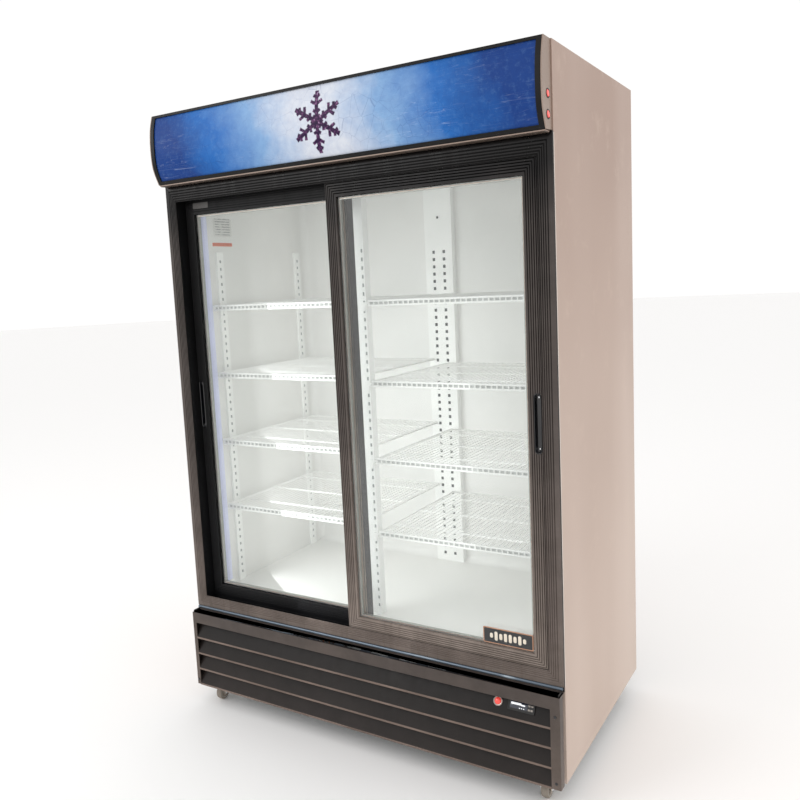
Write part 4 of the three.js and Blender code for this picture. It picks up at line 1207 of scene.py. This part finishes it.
def make_clips():
    """The hooked clips that hold the shelves' corners on the posts."""
    bm = bmesh.new()
    for side, outward in (("left", -1), ("right", 1)):
        for level in range(1, 5):
            (x0, x1), _, (_, z1) = extent(f"shelf_{side}_{level}")
            middle = x1 if side == "left" else x0
            post = extent("pilaster_centre_front")[0][1] * outward
            z = z1 - 8.5
            fork = [(post - outward * out, z + rise) for out, rise in ((12, -26), (5, -26), (2, -6))]
            fork += [(middle + outward * 8, z - 1), (middle + outward * 8, z + 1.6)]
            fork.append((post - outward * 12, z + 1.6))
            front = extent("pilaster_centre_front")[1][0]
            add_prism(bm, "y", fork, front - 3.2, front - 0.3)
            wall = extent(f"pilaster_{side}_front")[0][1 if side == "left" else 0]
            for end in ("front", "rear"):
                depth = sum(extent(f"pilaster_{side}_{end}")[1]) / 2
                hook = ((0.2, -24), (3.4, -22), (11, -1), (11, 1.2), (0.2, 1.2))
                hook = [(wall - outward * out, z + rise) for out, rise in hook]
                add_prism(bm, "y", hook, depth - 4, depth + 4)
    new_piece("shelf_clips", bm, "post", "root", bevel=0.4, segments=1)


def make_led_bars():
    for side, way in (("left", -1), ("right", 1)):
        node = f"led_bar_{side}"
        (x0, x1), (y0, y1), (z0, z1) = extent(node)
        wall = x0 if side == "left" else x1
        shell = [(0, y0), (0, y1), (3, y1 - 0.5), (3, y0 + 0.5)]
        bm = bmesh.new()
        add_prism(bm, "z", [(wall - way * u, v) for u, v in shell], z0, z1, 0)
        lens = [(2.8, y0 + 0.6), (2.8, y1 - 0.6), (9.8, y1 - 0.4), (14, y1 - 8), (16.4, y0 + 15)]
        lens += [(16.8, y0 + 6), (15, y0 + 0.6)]
        add_prism(bm, "z", [(wall - way * u, v) for u, v in lens], z0 + 3, z1 - 3, 1)
        for low, high in ((z0, z0 + 9), (z1 - 9, z1)):
            add_box(bm, sorted((wall, wall - way * 16.8)), (y0 - 0.3, y1 + 0.3), (low, high), 2)
        new_piece(f"{node}_look", bm, ["post", "lamp", "post"], "root", (node,), 0.3, 1)


def make_evaporator():
    softened("evaporator_cover", "liner", width=0.5, segments=1)
    softened("evaporator_coil", "aluminium", width=0.4, segments=1)
    softened("evaporator_fan_blades", "plastic", "evaporator_fan", 0.5)
    (x0, x1), (y0, y1), _ = extent("evaporator_fan_blades")
    guard_z = EVAPORATOR_BOTTOM - 2.5
    middle = ((x0 + x1) / 2, (y0 + y1) / 2)
    make_guard("evaporator_fan_guard", "z", middle, guard_z, 3.2)


GUARD_RADIUS = 106
GUARD_PITCH = 11


def make_guard(name, axis, middle, place, thick):
    """A wire fan guard: rings on four crossed bars."""
    rings = [
        [on_axis(axis, u, v, place) for u, v in arc(middle, radius, 0, 360, 40)]
        for radius in range(16, GUARD_RADIUS, GUARD_PITCH)
    ]
    for turn in range(0, 180, 45):
        ends = [arc(middle, GUARD_RADIUS, start, start, 1)[0] for start in (turn, turn + 180)]
        rings.append([on_axis(axis, u, v, place + thick * 0.5) for u, v in ends])
    wires(name, rings, 1.2, "wire", "root", (), 1)


LABEL_DEPTHS = (160, 250)
LABEL_HEIGHTS = (1555, 1617)
LABEL_STEPS = ((0, 0.05), (0, 0.4), (0.2, 0.5))  # inset of the edge, and height off the wall


def make_labels():
    """A blank printed label with an orange bar under it, on the left wall near the door."""
    wall = -LINER_HALF
    low, high = (at(wall, y, z) for y, z in zip(LABEL_DEPTHS, LABEL_HEIGHTS))
    LOOKS["paper"] = lined_paper("label_paper", "white_liner", low, high, "66686c")
    for name, look, y, z in (
        ("wall_label", "paper", LABEL_DEPTHS, LABEL_HEIGHTS),
        ("label_bar", "orange", (150, 249), (1522, 1534)),
    ):
        bm = bmesh.new()
        middle, half = (sum(y) / 2, sum(z) / 2), ((y[1] - y[0]) / 2, (z[1] - z[0]) / 2)
        steps = [(half[0] - inset, half[1] - inset, 2, wall + out) for inset, out in LABEL_STEPS]
        add_dish(bm, "x", middle, steps)
        new_piece(name, bm, look, "root")


def at(x, y, z):
    return TO_ROW @ Vector((x, y, z))


def make_inside_lights():
    """What the two light bars give the inside, as soft lights that the camera doesn't see."""
    for side in ("left", "right"):
        (x0, x1), (y0, _), (z0, z1) = extent(f"led_bar_{side}")
        way, power, drop = (1, 2.9, 120) if side == "left" else (-1, 0.5, 260)
        place = at((x0 + x1) / 2 + way * 270, y0 + 16, (z0 + z1) / 2 - drop)
        target = at(0, 560, (z0 + z1) / 2 - drop)
        light = area_light(f"bar_light_{side}", place, target, (0.5, 1.1), power, (0.98, 0.985, 1))
        light.visible_glossy = False


def make_interior():
    make_inside_lights()
    make_liner()
    make_pilasters()
    for side in ("left", "right"):
        for level in range(1, 5):
            make_shelf(f"shelf_{side}_{level}")
    make_clips()
    make_led_bars()
    make_evaporator()
    make_labels()


# ---------------------------------------------------------------- machine bay

def add_fins(bm, x, y, z, pitch):
    count = int((x[1] - x[0]) / pitch)
    for index in range(count + 1):
        place = x[0] + index * pitch
        add_box(bm, (place, place + FIN_SHEET), y, z)


FIN_SHEET = 0.5


def make_condenser():
    (x0, x1), (y0, y1), (z0, z1) = extent("condenser_coil")
    bm = bmesh.new()
    add_fins(bm, (x0 + 5, x1 - 5), (y0 + 5, y1 - 2), (z0 + 11, z1 - 7), 4.0)
    new_piece("condenser_fins", bm, "aluminium", "root", ("condenser_coil",))
    bm = bmesh.new()
    for place in (x0, x1 - 3):
        outline = rounded((y1 - y0) / 2, (z1 - z0) / 2, 4, middle=((y0 + y1) / 2, (z0 + z1) / 2))
        add_prism(bm, "x", outline, place, place + 3)
    new_piece("condenser_end_plates", bm, "zinc", "root", bevel=0.4)
    make_tubes("condenser_tubes", (x0 + 1, x1 - 1), (y0 + 18, y1 - 18), (z0 + 22, z1 - 22), 4, 8)


def make_tubes(name, x, y, z, radius, rows):
    """The copper tube that runs to and fro through a coil's fins."""
    rise = (z[1] - z[0]) / (rows - 1)
    for depth, place in zip(y, ("front", "back")):
        run = []
        for row in range(rows):
            height = z[0] + row * rise
            ends = x if row % 2 == 0 else (x[1], x[0])
            run += [(ends[0], depth, height), (ends[1], depth, height)]
        wires(f"{name}_{place}", [run], radius, "copper", "root", (), 2)


SHELL_HEIGHT = 192  # the height in the shell's outline that stands for the top of the CAD node


def make_compressor():
    (x0, x1), (y0, y1), (z0, z1) = extent("compressor")
    middle, base = ((x0 + x1) / 2, (y0 + y1) / 2), z0
    bm = bmesh.new()
    shell = [(60, 14), (72, 16), (79, 26), (80, 60), (80, 92), (82.5, 94), (82.5, 99), (80, 101), (79, 124),
             (73, 150), (60, 167), (40, 177), (18, 181), (1, 182)]
    scale = (z1 - base) / SHELL_HEIGHT
    add_turned(bm, "z", middle, [(min(r, (y1 - y0) / 2), base + h * scale) for r, h in shell], 40)
    new_piece("compressor_shell", bm, "machine", "root", ("compressor",))
    bm = bmesh.new()
    add_dish(bm, "z", middle, [(94, 58, 12, base + 7), (94, 58, 12, base + 10.5)])
    for side_x in (-1, 1):
        for side_y in (-1, 1):
            spot = (middle[0] + side_x * 82, middle[1] + side_y * 46)
            foot = [(10, 0), (11, 2), (11, 12), (8, 14), (4, 14), (4, 20)]
            add_turned(bm, "z", spot, [(r, base + rise) for r, rise in foot], 20)
    new_piece("compressor_feet", bm, "rubber", "root", bevel=0.6)
    bm = bmesh.new()
    cover = [(26, 34, 6, middle[1] - 79.9), (26, 34, 6, middle[1] - 76), (30, 38, 6, middle[1] - 60)]
    add_dish(bm, "y", (middle[0], base + 90), cover)
    new_piece("compressor_terminal_cover", bm, "plastic", "root")
    make_pipes(middle, base)


def make_pipes(middle, base):
    """The copper lines from the compressor towards the coil."""
    x, y = middle
    runs = [
        [(x + 60, y - 40, base + 120), (x + 84, y - 56, base + 120), (x + 92, y - 80, base + 110),
         (x + 92, y - 180, base + 60), (x + 120, 120, base + 40), (x + 150, 112, base + 40)],
        [(x - 60, y - 40, base + 110), (x - 84, y - 56, base + 110), (x - 96, y - 90, base + 100),
         (x - 96, y - 170, base + 90), (x - 120, 125, base + 70), (x - 150, 112, base + 66)],
    ]
    wires("compressor_pipes", [smooth_run(run) for run in runs], 4, "copper", "root", (), 2)


def smooth_run(points, steps=6):
    """A run of points rounded off at its bends."""
    made = [Vector(points[0])]
    for before, here, after in zip(points, points[1:], points[2:]):
        before, here, after = Vector(before), Vector(here), Vector(after)
        reach = min((here - before).length, (after - here).length) * 0.45
        start, end = here + (before - here).normalized() * reach, here + (after - here).normalized() * reach
        for step in range(steps + 1):
            share = step / steps
            made.append(start.lerp(here, share).lerp(here.lerp(end, share), share))
    made.append(Vector(points[-1]))
    return made


def make_machine_bay():
    softened("base_chassis", "zinc", width=0.6, segments=1)
    softened("rear_service_grille", "grille", width=0.3, segments=1)
    softened("condenser_fan_shroud", "machine", width=0.4, segments=1)
    softened("condenser_fan_blades", "aluminium", "condenser_fan", 0.4)
    make_condenser()
    make_compressor()
    make_rear_fittings()


def make_rear_fittings():
    (x0, x1), (_, back), (z0, z1) = extent("rear_service_grille")
    bm = bmesh.new()
    for x in (x0 + 8, 0, x1 - 8):
        for z in (z0 + 8, z1 - 8):
            add_screw(bm, (x, back - 0.2, z), 1, 4.0, 0, 1)
    new_piece("rear_grille_screws", bm, "chrome", "root")


# ---------------------------------------------------------------- casters

def make_casters():
    for end in ("front", "rear"):
        for side in ("left", "right"):
            place = f"{end}_{side}"
            fork, wheel = f"caster_fork_{place}", f"caster_wheel_{place}"
            softened(fork, "bracket", fork, 0.5)
            make_fork_fittings(fork, wheel)
            make_wheel(wheel)


def make_fork_fittings(fork, wheel):
    (x0, x1), (y0, y1), (z0, z1) = extent(wheel)
    middle, hub = (x0 + x1) / 2, ((y0 + y1) / 2, (z0 + z1) / 2)
    swivel = (middle, extent(fork)[1][1] - 21)
    top = extent(fork)[2][1]
    bm = bmesh.new()
    for way in (-1, 1):
        face = middle + way * 15.6
        bolt = [(5.4, -0.2), (5.4, 2.6), (4.6, 3.2), (2.6, 3.2)]
        add_turned(bm, "x", hub, [(r, face + way * out) for r, out in bolt], 6)
    race = [(20.2, top - 0.4), (21.8, top - 1.2), (22.2, top - 3), (21.2, top - 4.6), (19.6, top - 5.6)]
    add_turned(bm, "z", swivel, race, 32)
    new_piece(f"{fork}_bolt", bm, "chrome", fork)


def make_wheel(node):
    (x0, x1), (y0, y1), (z0, z1) = extent(node)
    middle, radius = ((y0 + y1) / 2, (z0 + z1) / 2), min(y1 - y0, z1 - z0) / 2
    bm = bmesh.new()
    half = [(radius - 6, 0.4), (radius - 2.2, 0.2), (radius - 0.4, 2.4), (radius, 5)]
    tread = [(r, x0 + inset) for r, inset in half] + [(r, x1 - inset) for r, inset in reversed(half)]
    add_turned(bm, "x", middle, tread, 48, 0)
    for face, way in ((x0, 1), (x1, -1)):
        disc = [(radius - 5.8, 0.5), (radius - 6.4, 0.1), (radius - 8, 1.6)]
        disc += [(9, 2.2), (8, 0.4), (5.8, 0.2), (5.6, 2)]
        add_turned(bm, "x", middle, [(r, face + way * deep) for r, deep in disc], 48, 1)
    new_piece(f"{node}_look", bm, ["tyre", "wheel"], node, (node,))


# ---------------------------------------------------------------- everything

make_camera()
make_stage()
make_cabinet()
make_interior()
make_surround()
make_doors()
make_canopy()
make_grille()
make_machine_bay()
make_casters()
